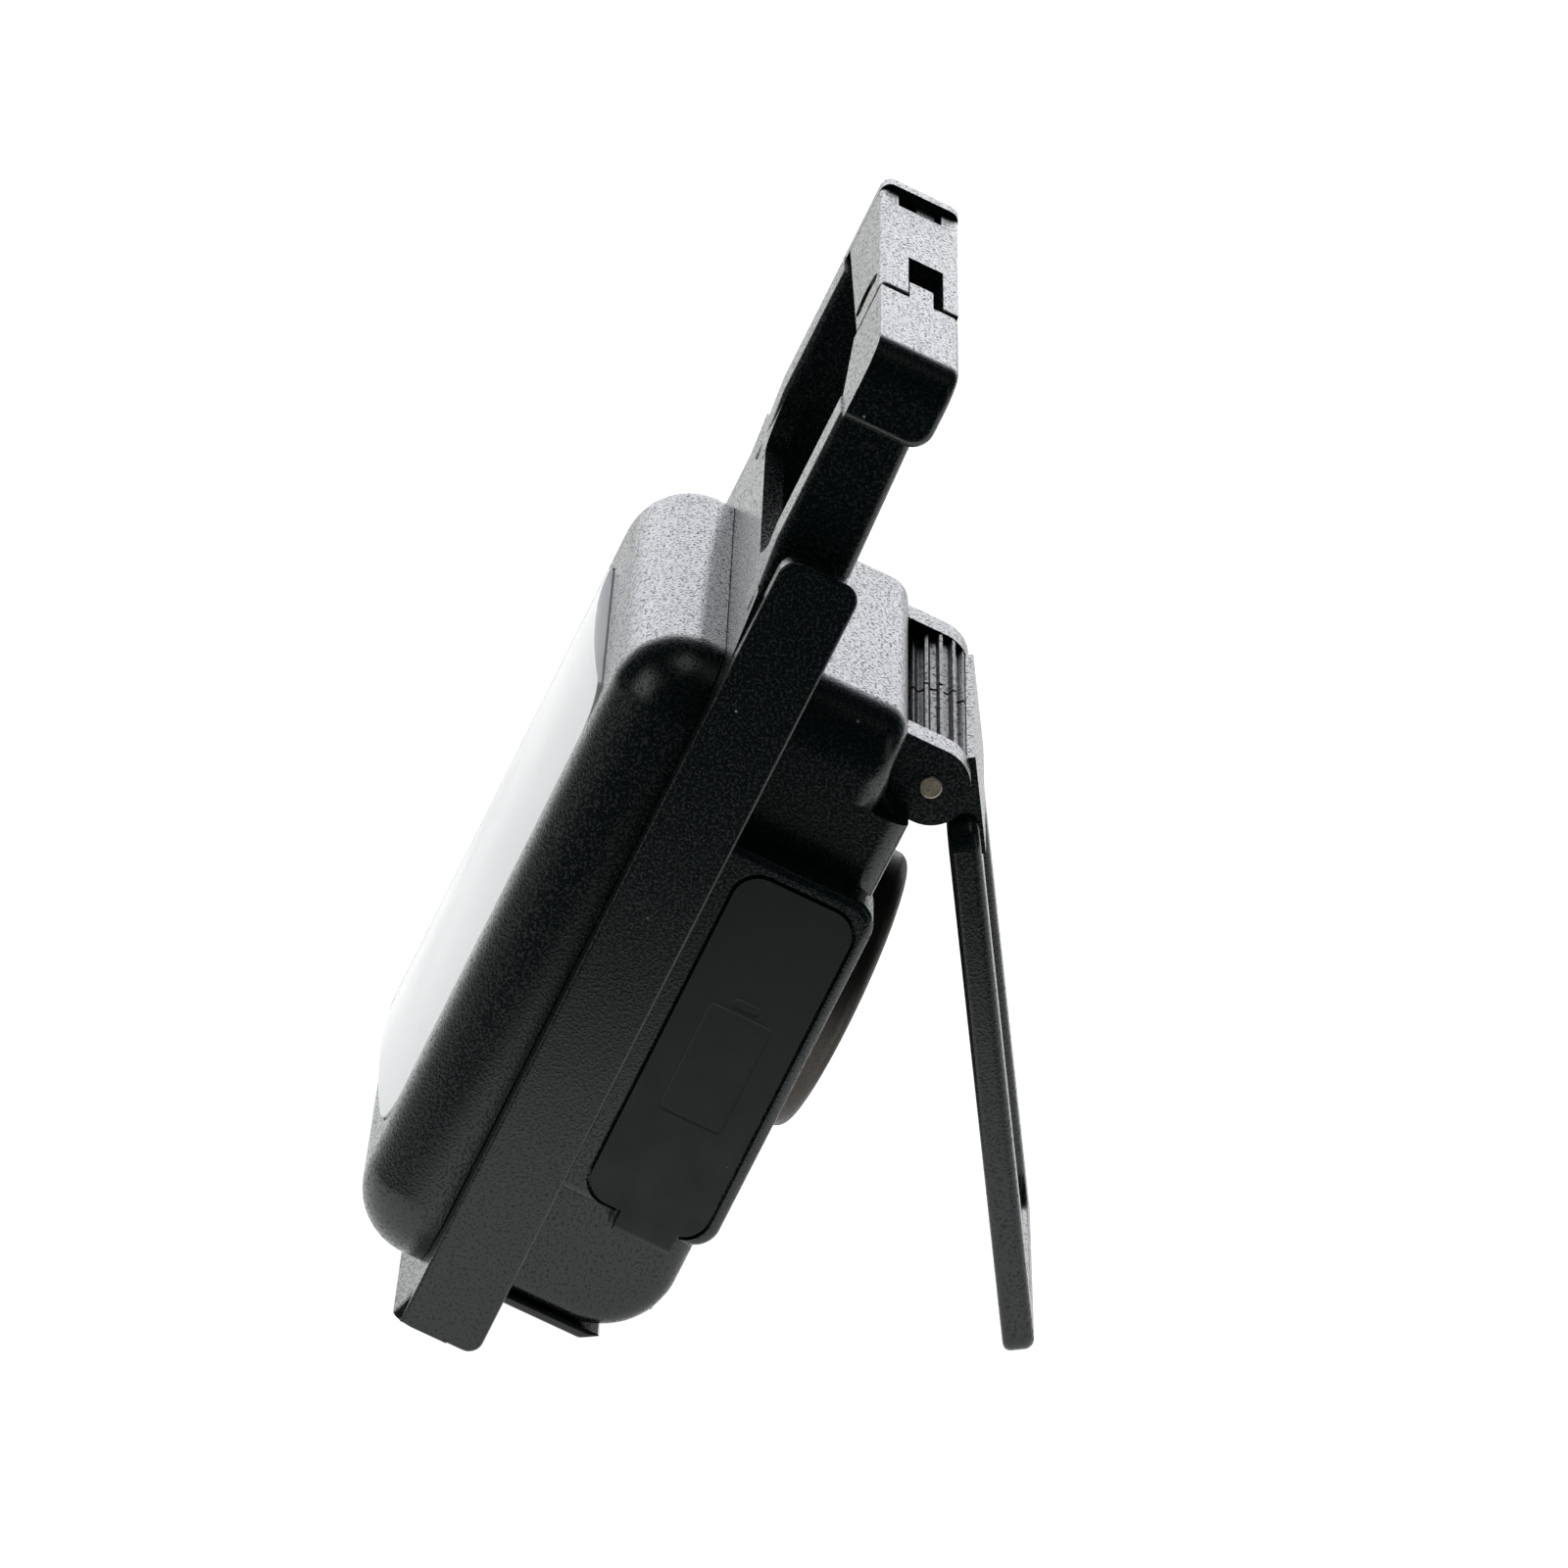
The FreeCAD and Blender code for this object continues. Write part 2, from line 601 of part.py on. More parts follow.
def rod(name, axis, start, stop, across, radius):
    """A round bar along X or Y between two planes, its axis at the pair given in across."""
    bar = doc.addObject("Part::Cylinder", name)
    start = size(start)
    bar.setExpression("Radius", size(radius).text)
    bar.setExpression("Height", (size(stop) - start).text)
    names = {"x": "yz", "y": "xz", "z": "xy"}[axis]
    turns = {"x": (AXES["y"], 90), "y": (AXES["x"], -90), "z": (AXES["z"], 0)}
    bar.Placement = FreeCAD.Placement(FreeCAD.Vector(), FreeCAD.Rotation(*turns[axis]))
    bar.setExpression(f"Placement.Base.{axis}", start.text)
    for letter, value in zip(names, across):
        bar.setExpression(f"Placement.Base.{letter}", size(value).text)
    return bar


def fuse(name, pieces):
    joined = doc.addObject("Part::MultiFuse", name)
    joined.Shapes = pieces
    joined.Refine = True
    return joined


def cut_from(name, base, tool):
    result = doc.addObject("Part::Cut", name)
    result.Base = base
    result.Tool = tool
    return result


def finish(piece, name, swung=False):
    """Name a finished piece and lean it back, swung out with the stand where it belongs to it."""
    piece.Label = name
    lean, move_y, move_z = d.lean, d.shift_y, d.shift_z
    angle = -lean
    if swung:
        angle = d.stand_angle - lean
        move_y = move_y + d.pin_y * cosine(lean) + d.pin_z * sine(lean)
        move_z = move_z - d.pin_y * sine(lean) + d.pin_z * cosine(lean)
    piece.Placement = FreeCAD.Placement(FreeCAD.Vector(), FreeCAD.Rotation(AXES["x"], 1))
    piece.setExpression("Placement.Rotation.Angle", f"{angle.text} * 1deg")
    piece.setExpression("Placement.Base.y", move_y.text)
    piece.setExpression("Placement.Base.z", move_z.text)
    NODES.append(piece)


def both_sides(low, high, side):
    """A pair of places across the lamp, on its near (+1) or far (-1) side."""
    return (low, high) if side > 0 else (-high, -low)


def corners_of(x, low, high):
    return [(sign * x, z) for sign in (-1, 1) for z in (low, high)]


def frame_pieces():
    """The frame: rails, flared foot and grip pocket, with the handle's two ends grown onto it."""
    body = new_body("frame_ring")
    side = [
        (d.face, 0),
        (d.face, d.shell_top + d.flare_gap),
        (d.bridge_face, d.bridge_height),
        (d.rail_depth, d.bridge_height),
        (d.rail_depth, 0),
    ]
    pad(body, "frame_middle", "side", [side], -d.rail_inner, d.rail_inner)
    rail = rectangle(d.face, d.rail_depth, 0, d.rail_height)
    for name, sign in SIDES:
        pad(body, f"rail_{name}", "side", [rail], *both_sides(d.rail_inner, d.half_width, sign))
    round_edges(body, "rail_tips", d.tip_radius, along="x", z=at(d.rail_height))
    round_edges(body, "heel", d.heel_radius, along="x", y=at(d.rail_depth), z=at(0))
    for sign in (-1, 1):
        round_edges(body, f"rail_edge_{sign + 1}", d.rail_edge, along="z",
                    x=at(sign * d.half_width), y=at(d.face))
    pocket(body, "grip_pocket", "front",
           [rectangle(-d.leg_inner, d.leg_inner, d.deck_height, d.bridge_height + 1)],
           d.bridge_depth, d.rail_depth + 1)
    opening = chamfered(-d.half_width + d.frame_wall, d.half_width - d.frame_wall,
                        d.frame_sill, d.deck_height - d.frame_head, d.corner_fill)
    pocket(body, "inside_opening", "front", [opening], d.bridge_face - 1, d.rail_depth + 1)
    holes = [Round(x, z, d.screw_radius) for x, z in corners_of(d.screw_x, d.screw_low, d.screw_high)]
    pocket(body, "screw_holes", "front", holes, d.rail_depth - d.screw_bite, d.rail_depth + 1)
    holes = [Round(x, z, d.spreader_screw_radius) for x, z in spreader_screw_places()]
    pocket(body, "spreader_holes", "front", holes, d.face - 1, d.face + d.small_screw_bite)
    parts = [body, flared_foot(), near_handle_end(), far_handle_end()]
    finish(fuse("main_frame", parts), "main_frame")


def flared_foot():
    """The frame's bottom edge, which flares out to the front with round corners."""
    body = new_body("flared_foot")
    depth = 2 * d.lip_corner
    foot = [(d.lip, 0), (d.face, d.lip_height), (depth, d.lip_height), (depth, 0)]
    pad(body, "foot_bar", "side", [foot], -d.half_width, d.half_width)
    round_edges(body, "foot_corners", d.lip_corner, y=(d.lip, d.face), x=at(d.half_width))
    round_edges(body, "far_foot_corners", d.lip_corner, y=(d.lip, d.face), x=at(-d.half_width))
    return body


def handle_leg(name, sign):
    """One leg of the handle, rounded along its edges, its foot sunk in the frame."""
    body = new_body(name)
    root_height = d.bridge_height - d.leg_root
    leg = [
        (d.bridge_face, root_height),
        (d.leg_back, root_height),
        (d.leg_back - d.leg_taper, d.leg_height),
        (d.leg_front, d.leg_height),
        (d.leg_front, d.bridge_height + d.leg_flare),
        (d.bridge_face, d.bridge_height),
    ]
    pad(body, f"{name}_leg", "side", [leg], *both_sides(d.leg_inner, d.leg_outer, sign))
    round_edges(body, f"{name}_edges", d.leg_round,
                z=(d.bridge_height - d.leg_root / 2 - TINY, d.leg_height - TINY * 2))
    web_low, web_high = d.bridge_height - 1, d.bridge_height + d.bridge_corner
    inner = d.leg_inner - d.bridge_corner
    web = new_body(f"{name}_web")
    pad(web, f"{name}_web_block", "front",
        [rectangle(*both_sides(inner, d.leg_inner + d.leg_round, sign), web_low, web_high)],
        d.bridge_face, d.bridge_depth)
    pocket(web, f"{name}_web_round", "front", [Round(sign * inner, web_high, d.bridge_corner)],
           d.bridge_face - 1, d.bridge_depth + 1)
    return [body, web]


def near_handle_end():
    """The near leg and corner block, with the tongue that carries the gate."""
    body = new_body("near_block")
    block = [
        (d.block_inner, d.gate_low + d.gate_rise),
        (d.leg_inner, d.leg_height),
        (d.block_outer, d.leg_height),
        (d.block_outer, d.handle_height),
        (d.block_inner, d.handle_height),
    ]
    pad(body, "near_block_bar", "front", [block], -d.block_front, d.block_back)
    round_edges(body, "near_block_corner", d.block_round, along="y",
                x=at(d.block_outer), z=at(d.handle_height))
    round_edges(body, "near_block_heel", d.block_heel, along="x", y=at(d.block_back),
                z=at(d.leg_height))
    round_edges(body, "near_block_edge", d.block_edge, along="y", x=at(d.block_outer),
                z=at(d.leg_height))
    tongue = rectangle(d.pivot_x, d.block_inner + d.tongue_radius,
                       d.pivot_z - d.tongue_radius, d.pivot_z + d.tongue_radius)
    pad(body, "tongue", "front", [tongue], d.tongue_front, d.tongue_back)
    pad(body, "tongue_end", "front", [Round(d.pivot_x, d.pivot_z, d.tongue_radius)],
        d.tongue_front, d.tongue_back)
    pocket(body, "pivot_bore", "front", [Round(d.pivot_x, d.pivot_z, d.pivot_radius)],
           d.tongue_front - 1, d.tongue_back + 1)
    return fuse("near_handle_end", [body, *handle_leg("handle_near", 1)])


def far_handle_end():
    """The far leg, whose end wall and catch meet the gate's free end."""
    body = new_body("far_block")
    top = d.handle_height + d.catch_rise
    low = d.leg_height - d.block_edge
    block = [
        (-d.block_outer, low),
        (-d.block_outer, top),
        (-d.catch_face, top),
        (-d.catch_face, d.leg_height),
        (-d.leg_inner - d.leg_round, d.leg_height),
        (-d.leg_inner - d.leg_round, low),
    ]
    pad(body, "far_block_wall", "front", [block], -d.block_front, d.block_back)
    round_edges(body, "wall_corners", d.catch_corner, along="x", z=at(top))
    catch = rectangle(-d.catch_face - d.catch_wall / 2, -d.catch_face + d.catch_length,
                      d.pivot_z - d.catch_height / 2, d.pivot_z + d.catch_height / 2)
    pad(body, "catch", "front", [catch], d.catch_front, d.catch_back)
    return fuse("far_handle_end", [body, *handle_leg("handle_far", -1)])


def spreader_screw_places():
    x = d.spreader_half - d.spreader_screw_inset
    half = d.spreader_screw_spacing / 2
    return corners_of(x, d.lens_middle - half, d.lens_middle + half)


def gate_pieces():
    """The gate of the handle, its pivot pin and its spring."""
    body = new_body("gate")
    bar = [
        (-d.gate_tip, d.gate_low),
        (d.gate_end, d.gate_low + d.gate_rise),
        (d.gate_end, d.handle_height),
        (-d.gate_tip, d.handle_height),
    ]
    pad(body, "gate_bar", "front", [bar], -d.gate_front, d.gate_back)
    round_edges(body, "gate_heel", d.gate_round + 1, along="y", x=at(d.gate_end), z=at(d.handle_height))
    round_edges(body, "gate_edges", d.gate_round, z=(d.gate_low + d.gate_rise / 4, d.handle_height),
                x=(-d.gate_tip + TINY * 2, d.gate_end - d.gate_round * 2), y=at(-d.gate_front))
    near_slot = rectangle(d.pivot_x - d.slot_reach, d.gate_end + 1, d.gate_low - 1, d.handle_height + 1)
    pocket(body, "near_slot", "front", [near_slot], d.slot_front, d.slot_back)
    far_slot = rectangle(-d.gate_tip - 1, -d.gate_tip + d.far_slot_length,
                         d.gate_low - 1, d.handle_height + 1)
    pocket(body, "far_slot", "front", [far_slot], d.far_slot_front, d.far_slot_back)
    pocket(body, "pivot_hole", "front",
           [Round(d.pivot_x, d.pivot_z, d.pivot_radius + d.running_gap)],
           -d.gate_front - 1, d.gate_back + 1)
    pocket(body, "head_recess", "front", [Round(d.pivot_x, d.pivot_z, d.pivot_head + 2 * d.slot_gap)],
           -d.gate_front - 1, -d.gate_front + d.pivot_head_thickness + d.slot_gap)
    finish(body, "gate")

    head_front = -d.gate_front + d.slot_gap - d.running_gap
    centre = (d.pivot_x, d.pivot_z)
    head_back = head_front + d.pivot_head_thickness
    shank = rod("pivot_shank", "y", head_front, d.gate_back - d.slot_gap, centre, d.pivot_radius)
    head = rod("pivot_head_disc", "y", head_front, head_back, centre, d.pivot_head)
    finish(fuse("gate_pin", [shank, head]), "gate_pin")

    start = d.tongue_back + d.running_gap
    stop = d.slot_back - d.slot_gap
    inner = d.pivot_radius + 3 * d.running_gap
    coil = rod("coil", "y", start, stop, centre, inner + d.spring_wall)
    core = rod("coil_core", "y", start - 1, stop + 1, centre, inner)
    finish(cut_from("gate_spring", coil, core), "gate_spring")


def rolled_block(name, half, low, high, back, front, corner, edge):
    """A block with rounded corners and a rolled front edge."""
    body = new_body(name)
    pad(body, f"{name}_block", "front", [rectangle(-half, half, low, high)], front, back)
    round_edges(body, f"{name}_corners", corner, along="y")
    round_edges(body, f"{name}_edge", edge, y=at(front))
    return body


def shell_pieces():
    """The front shell and the light behind it: lens, gasket, reflector, board and spreader."""
    wall = d.shell_wall
    outer = rolled_block("shell_outside", d.shell_half, d.shell_base, d.shell_top,
                         d.face, d.shell_rim, d.shell_corner, d.shell_round)
    core = rolled_block("shell_inside", d.shell_half - wall, d.shell_base + wall, d.shell_top - wall,
                        d.face + 1, d.shell_inside, d.shell_corner - wall, d.shell_round - wall)
    pad(core, "lens_opening", "front",
        [rectangle(-d.window_half, d.window_half, d.window_low, d.window_high)],
        d.shell_rim - 1, d.shell_inside + 1)
    round_edges(core, "lens_opening_corners", d.lens_corner, along="y",
                y=(d.shell_rim - 1, d.shell_inside))
    finish(cut_from("front_shell", outer, core), "front_shell")

    gap = d.lens_gap
    window = (d.window_half, d.window_low, d.window_high, d.lens_corner)
    flange = grown(window, d.lens_flange)
    plate = rounded_plate("lens_flange_plate", flange, d.flange_face, d.flange_back)
    plug = rounded_plate("lens_plug", grown(window, -gap), d.shell_rim - d.lens_crown, d.flange_back)
    half = d.window_half - gap
    dome_radius = (half * half + d.lens_crown * d.lens_crown) / (2 * d.lens_crown)
    dome = rod("lens_dome", "z", d.shell_base, d.shell_top,
               (0, d.shell_rim - d.lens_crown + dome_radius), dome_radius)
    common = doc.addObject("Part::Common", "lens")
    common.Base = fuse("lens_block", [plate, plug])
    common.Tool = dome
    finish(common, "lens")

    ring("lens_gasket", flange, window, d.shell_inside, d.flange_face)
    tray_inside = grown(window, -d.reflector_wall)
    ring("reflector_tray", window, tray_inside, d.flange_back, d.spreader_face)
    board = rounded_plate("led_board", grown(tray_inside, -d.led_board_gap), d.led_face, d.spreader_face)
    holes = [Round(x, z, d.spreader_screw_radius) for x, z in led_screw_places()]
    pocket(board, "led_holes", "front", holes, d.led_face - 1, d.spreader_face + 1)
    finish(board, "led_board")

    shell = (d.shell_half, d.shell_base, d.shell_top, d.shell_corner)
    spreader = grown(shell, -d.shell_wall - d.spreader_gap)
    plate = rounded_plate("heat_spreader", spreader, d.spreader_face, d.face)
    places = led_screw_places() + spreader_screw_places()
    holes = [Round(x, z, d.spreader_screw_radius) for x, z in places]
    pocket(plate, "spreader_screw_holes", "front", holes, d.spreader_face - 1, d.face + 1)
    finish(plate, "heat_spreader")

    screws("spreader_screws", spreader_screw_places(), d.spreader_face, d.small_head_height,
           d.face + d.small_screw_bite, d.spreader_screw_radius, d.spreader_screw_head)
    screws("board_screws", led_screw_places(), d.led_face, d.small_head_height,
           d.spreader_face + d.led_screw_bite, d.spreader_screw_radius, d.spreader_screw_head)


def led_screw_places():
    inset = d.led_screw_inset
    return corners_of(d.led_half - inset, d.led_low + inset, d.led_high - inset)


def grown(outline, step):
    """A rounded outline (half width, low, high, corner radius) made larger all round."""
    half, low, high, corner = outline
    return (half + step, low - step, high + step, corner + step)


def rounded_plate(name, outline, start, stop):
    """A flat plate with rounded corners."""
    body = new_body(name)
    half, low, high, corner = outline
    pad(body, f"{name}_plate", "front", [rectangle(-half, half, low, high)], start, stop)
    round_edges(body, f"{name}_corners", corner, along="y")
    return body


def ring_body(name, outer, inner, start, stop):
    """A flat ring between two rounded outlines."""
    plate = rounded_plate(f"{name}_outside", outer, start, stop)
    opening = rounded_plate(f"{name}_opening", inner, start - 1, stop + 1)
    return cut_from(f"{name}_ring", plate, opening)


def ring(name, outer, inner, start, stop):
    finish(ring_body(name, outer, inner, start, stop), name)


def screws(name, places, seat, head_height, end, radius, head_radius):
    """Screws along Y that share one node, their heads in front of the seat."""
    pieces = []
    for index, place in enumerate(places):
        shank = rod(f"{name}_shank_{index}", "y", seat - head_height, end, place, radius)
        head = rod(f"{name}_head_{index}", "y", seat - head_height, seat, place, head_radius)
        pieces.append(fuse(f"{name}_{index}", [shank, head]))
    group = doc.addObject("Part::Compound", name)
    group.Links = pieces
    finish(group, name)


def housing_body():
    """The rear housing with its hinge ears, side bays and the seats of what it carries."""
    body = new_body("housing_shell")
    half = d.housing_half
    pad(body, "housing_block", "front", [rectangle(-half, half, d.housing_base, d.shoulder_base)],
        d.housing_front, d.housing_back)
    round_edges(body, "housing_heel", d.housing_heel, along="x", y=at(d.housing_back), z=at(d.housing_base))
    for sign in (-1, 1):
        round_edges(body, f"housing_side_{sign + 1}", d.housing_round, x=at(sign * half),
                    y=(d.housing_front + 1, d.housing_back), z=(d.housing_base, d.shoulder_base - 1))
    pad(body, "shoulder_block", "front",
        [rectangle(-half, half, d.shoulder_base - d.housing_corner, d.housing_top)],
        d.housing_front, d.shoulder_back)
    round_edges(body, "housing_corners", d.housing_corner, along="y", z=at(d.housing_top))
    round_edges(body, "shoulder_edge", d.shoulder_round, y=at(d.shoulder_back),
                z=(d.shoulder_base + TINY * 2, d.housing_top))
    ear = rectangle(d.trough_front, d.pin_y, d.pin_z - d.ear_radius, d.pin_z + d.ear_radius)
    for side_name, sign in SIDES:
        ear_sides = both_sides(d.ear_inner, d.ear_outer, sign)
        pad(body, f"ear_{side_name}", "side", [ear], *ear_sides)
        pad(body, f"ear_end_{side_name}", "side", [Round(d.pin_y, d.pin_z, d.ear_radius)], *ear_sides)
    boss = rectangle(d.tab_middle - d.boss_width / 2, d.tab_middle + d.boss_width / 2,
                     d.boss_base, d.bay_base + d.bay_round)
    pad(body, "hinge_boss", "side", [boss], half - d.housing_round, d.bay_face)
    outside = fuse("housing_outside", [body, shoulder_cove(), side_bay("near", 1), side_bay("far", -1)])
    body = new_body("housing_rooms")
    body.BaseFeature = outside
    doc.recompute()
    pocket(body, "trough", "front",
           [rectangle(-d.ear_inner, d.ear_inner, d.trough_low, d.housing_top + 1)],
           d.trough_front, d.pin_y + d.ear_radius)
    fill = d.screw_inset + d.screw_end_inset
    room = chamfered(-d.inner_half, d.inner_half, d.inner_low, d.inner_high, fill)
    pocket(body, "upper_room", "front", [room],
           d.housing_front - 1, d.trough_front - d.housing_wall)
    deep = [
        (-d.inner_half + fill, d.inner_low),
        (d.inner_half - fill, d.inner_low),
        (d.inner_half, d.inner_low + fill),
        (d.inner_half, d.trough_low - d.housing_wall),
        (-d.inner_half, d.trough_low - d.housing_wall),
        (-d.inner_half, d.inner_low + fill),
    ]
    pocket(body, "battery_room", "front", [deep], d.housing_front - 1, d.wall_back)
    wall = d.housing_wall
    hollow = rectangle(d.housing_front + wall, d.wall_back, d.bay_base + wall, d.bay_top - wall)
    pocket(body, "near_bay_room", "side", [hollow], d.inner_half - 1, d.bay_inside)
    pocket(body, "far_bay_room", "side", [hollow], -d.button_inside, -d.inner_half + 1)
    window = rectangle(d.cover_middle - d.port_window_width / 2, d.cover_middle + d.port_window_width / 2,
                       d.port_middle - d.port_window_height / 2, d.port_middle + d.port_window_height / 2)
    pocket(body, "port_window", "side", [window], d.bay_inside - 1, d.seat_face + 1)
    button_hole = Round(d.cover_middle, d.button_height, d.button_radius + d.button_gap)
    pocket(body, "button_hole", "side", [button_hole], -d.bay_face - 1, -d.button_inside + 1)
    pocket(body, "indicator_slot", "side", [indicator_outline(0)],
           -d.bay_face - 1, -d.button_inside + 1)
    pocket(body, "pin_bore", "side", [Round(d.pin_y, d.pin_z, d.pin_radius)],
           -d.ear_outer - 1, d.ear_outer + 1)
    places = corners_of(d.screw_x, d.screw_low, d.screw_high)
    pocket(body, "screw_passages", "front",
           [Round(x, z, d.screw_radius + d.screw_gap) for x, z in places],
           d.housing_front - 1, d.housing_back + 1)
    for row, (height, back) in enumerate(SCREW_ROWS):
        pocket(body, f"screw_seats_{row}", "front",
               [Round(x, height, d.screw_head + d.screw_gap) for x in (-d.screw_x, d.screw_x)],
               back - d.screw_head_height, d.housing_back + 1)
    pocket(body, "magnet_seat", "front", [Round(0, d.magnet_height, d.magnet_radius + d.magnet_gap)],
           d.cup_base, d.housing_back + 1)
    pocket(body, "magnet_screw_hole", "front", [Round(0, d.magnet_height, d.magnet_screw_radius)],
           d.wall_back - 1, d.housing_back + 1)
    outer, inner = seal_outlines()
    ring("housing_seal", outer, inner, d.housing_front, d.housing_front + d.seal_depth)
    groove = ring_body("seal_groove", outer, inner, d.housing_front, d.housing_front + d.seal_depth)
    tools = fuse("housing_cuts", [groove, cover_seat()])
    finish(cut_from("rear_housing_piece", body, tools), "rear_housing")


def shoulder_cove():
    """The hollow round from the upper rear face down to the step."""
    body = new_body("shoulder_cove")
    half = d.housing_half - d.housing_round
    back, top = d.shoulder_back + d.cove_radius, d.shoulder_base + d.cove_radius
    pad(body, "cove_block", "side",
        [rectangle(d.shoulder_back - 1, back, d.shoulder_base - 1, top)], -half, half)
    pocket(body, "cove_round", "side", [Round(back, top, d.cove_radius)], -half - 1, half + 1)
    return body


def side_bay(side_name, sign):
    """A bay on the housing's side, which wraps round onto its rear face."""
    body = new_body(f"bay_{side_name}")
    inner = d.housing_half - d.bay_overlap
    pad(body, f"bay_block_{side_name}", "side",
        [rectangle(d.housing_front, d.bay_back, d.bay_base, d.bay_top)],
        *both_sides(inner, d.bay_face, sign))
    round_edges(body, f"bay_corners_{side_name}", d.bay_corner, along="x", y=at(d.bay_back))
    round_edges(body, f"bay_edges_{side_name}", d.bay_round, x=at(sign * d.bay_face),
                y=(d.housing_front + TINY * 2, d.bay_back))
    return body


# The two rows of housing screws: height, and rear face of the heads.
SCREW_ROWS = (
    (d.screw_low, d.housing_back - d.screw_sink),
    (d.screw_high, d.shoulder_back - d.screw_sink),
)


def seal_outlines():
    """The seal's outer and inner outline: half width, low, high and corner radius."""
    inset = d.housing_wall / 2 - d.seal_width / 2
    outer = (d.housing_half - inset, d.housing_base + inset, d.housing_top - inset,
             d.housing_corner - inset)
    return outer, grown(outer, -d.seal_width)


def cover_seat():
    """The room that the port cover and its hinge tab take out of the near bay."""
    body = new_body("cover_seat")
    gap = d.cover_gap
    seat = rectangle(d.cover_front - gap, d.cover_back + gap, d.cover_base - gap, d.cover_top + gap)
    pad(body, "cover_seat_block", "side", [seat], d.seat_face, d.bay_face + 1)
    round_edges(body, "cover_seat_corners", d.cover_corner + gap, along="x")
    half = d.tab_width / 2 + gap
    notch = rectangle(d.tab_middle - half, d.tab_middle + half, d.boss_base - 1, d.cover_base + gap)
    pad(body, "tab_notch", "side", [notch], d.seat_face, d.bay_face + 1)
    return body


def indicator_outline(gap):
    low = d.button_height + d.indicator_spacing - d.indicator_height / 2
    front = d.cover_middle - d.indicator_width / 2
    return rectangle(front + gap, front + d.indicator_width - gap,
                     low + gap, low + d.indicator_height - gap)


def housing_screws():
    """Four screws from the back through the housing's corners into the frame."""
    pieces = []
    places = [(x, height, back) for x in (-d.screw_x, d.screw_x) for height, back in SCREW_ROWS]
    for index, (x, z, back) in enumerate(places):
        shank = rod(f"housing_shank_{index}", "y", d.rail_depth - d.screw_bite, back, (x, z),
                    d.screw_radius)
        head = rod(f"housing_head_{index}", "y", back - d.screw_head_height, back, (x, z), d.screw_head)
        pieces.append(fuse(f"housing_screw_{index}", [shank, head]))
    group = doc.addObject("Part::Compound", "housing_screws")
    group.Links = pieces
    finish(group, "housing_screws")


def port_pieces():
    """The rubber port cover, the sockets under it, their bezel and the control board."""
    cover = new_body("port_cover")
    pad(cover, "cover_plate", "side",
        [rectangle(d.cover_front, d.cover_back, d.cover_base, d.cover_top)],
        d.cover_inside, d.cover_outside)
    round_edges(cover, "cover_corners", d.cover_corner, along="x")
    tab = rectangle(d.tab_x - d.tab_radius, d.tab_x + d.tab_radius, d.tab_z, d.cover_base + d.tab_radius)
    tab_front = d.tab_middle - d.tab_width / 2
    pad(cover, "cover_tab", "front", [tab], tab_front, tab_front + d.tab_width)
    pad(cover, "cover_knuckle", "front", [Round(d.tab_x, d.tab_z, d.tab_radius)],
        tab_front, tab_front + d.tab_width)
    finish(cover, "port_cover")

    gap = d.bezel_gap
    bezel = new_body("socket_bezel")
    half_width = d.port_window_width / 2 - gap
    half_height = d.port_window_height / 2 - gap
    flange = d.bezel_thickness
    pad(bezel, "bezel_flange", "side",
        [rectangle(d.cover_middle - half_width - flange, d.cover_middle + half_width + flange,
                   d.port_middle - half_height - flange, d.port_middle + half_height + flange)],
        d.bay_inside - flange, d.bay_inside)
    pad(bezel, "bezel_plug", "side",
        [rectangle(d.cover_middle - half_width, d.cover_middle + half_width,
                   d.port_middle - half_height, d.port_middle + half_height)],
        d.bay_inside, d.socket_face)
    for name, middle, height, width in SOCKETS:
        pocket(bezel, f"{name}_opening", "side",
               [socket_outline(middle, height, width, -d.socket_gap)],
               d.bay_inside - flange - 1, d.socket_face + 1)
    finish(bezel, "socket_bezel")

    for name, middle, height, width in SOCKETS:
        socket = new_body(name)
        back = d.socket_face - d.socket_depth
        pad(socket, f"{name}_shell", "side", [socket_outline(middle, height, width, 0)],
            back, d.socket_face)
        pocket(socket, f"{name}_mouth", "side",
               [socket_outline(middle, height, width, d.socket_wall)],
               back + 2 * d.socket_wall, d.socket_face + 1)
        finish(socket, name)

    right = d.bay_inside - d.bezel_thickness - d.cover_gap
    half_height = d.control_board_height / 2
    board = box_shape("control_board", (right - d.control_board_width, right),
                      (d.socket_back, d.socket_back + d.board_thickness),
                      (d.port_middle - half_height, d.port_middle + half_height))
    finish(board, "control_board")


SOCKETS = (
    ("usb_a_socket", d.wide_socket_z, d.wide_socket_height, d.wide_socket_width),
    ("usb_c_socket", d.small_socket_z, d.small_socket_height, d.small_socket_width),
)


def socket_outline(middle, height, width, inset):
    return rectangle(d.socket_back - width + inset, d.socket_back - inset,
                     middle - height / 2 + inset, middle + height / 2 - inset)


def box_shape(name, x, y, z):
    """A plain block as a body of its own, so that it can be leaned back like the others."""
    body = new_body(name)
    pad(body, f"{name}_block", "side", [rectangle(*y, *z)], *x)
    return body


def bar_body(name, view, centre, radius, start, stop):
    """A round bar as a body of its own."""
    body = new_body(name)
    pad(body, f"{name}_bar", view, [Round(*centre, radius)], start, stop)
    return body


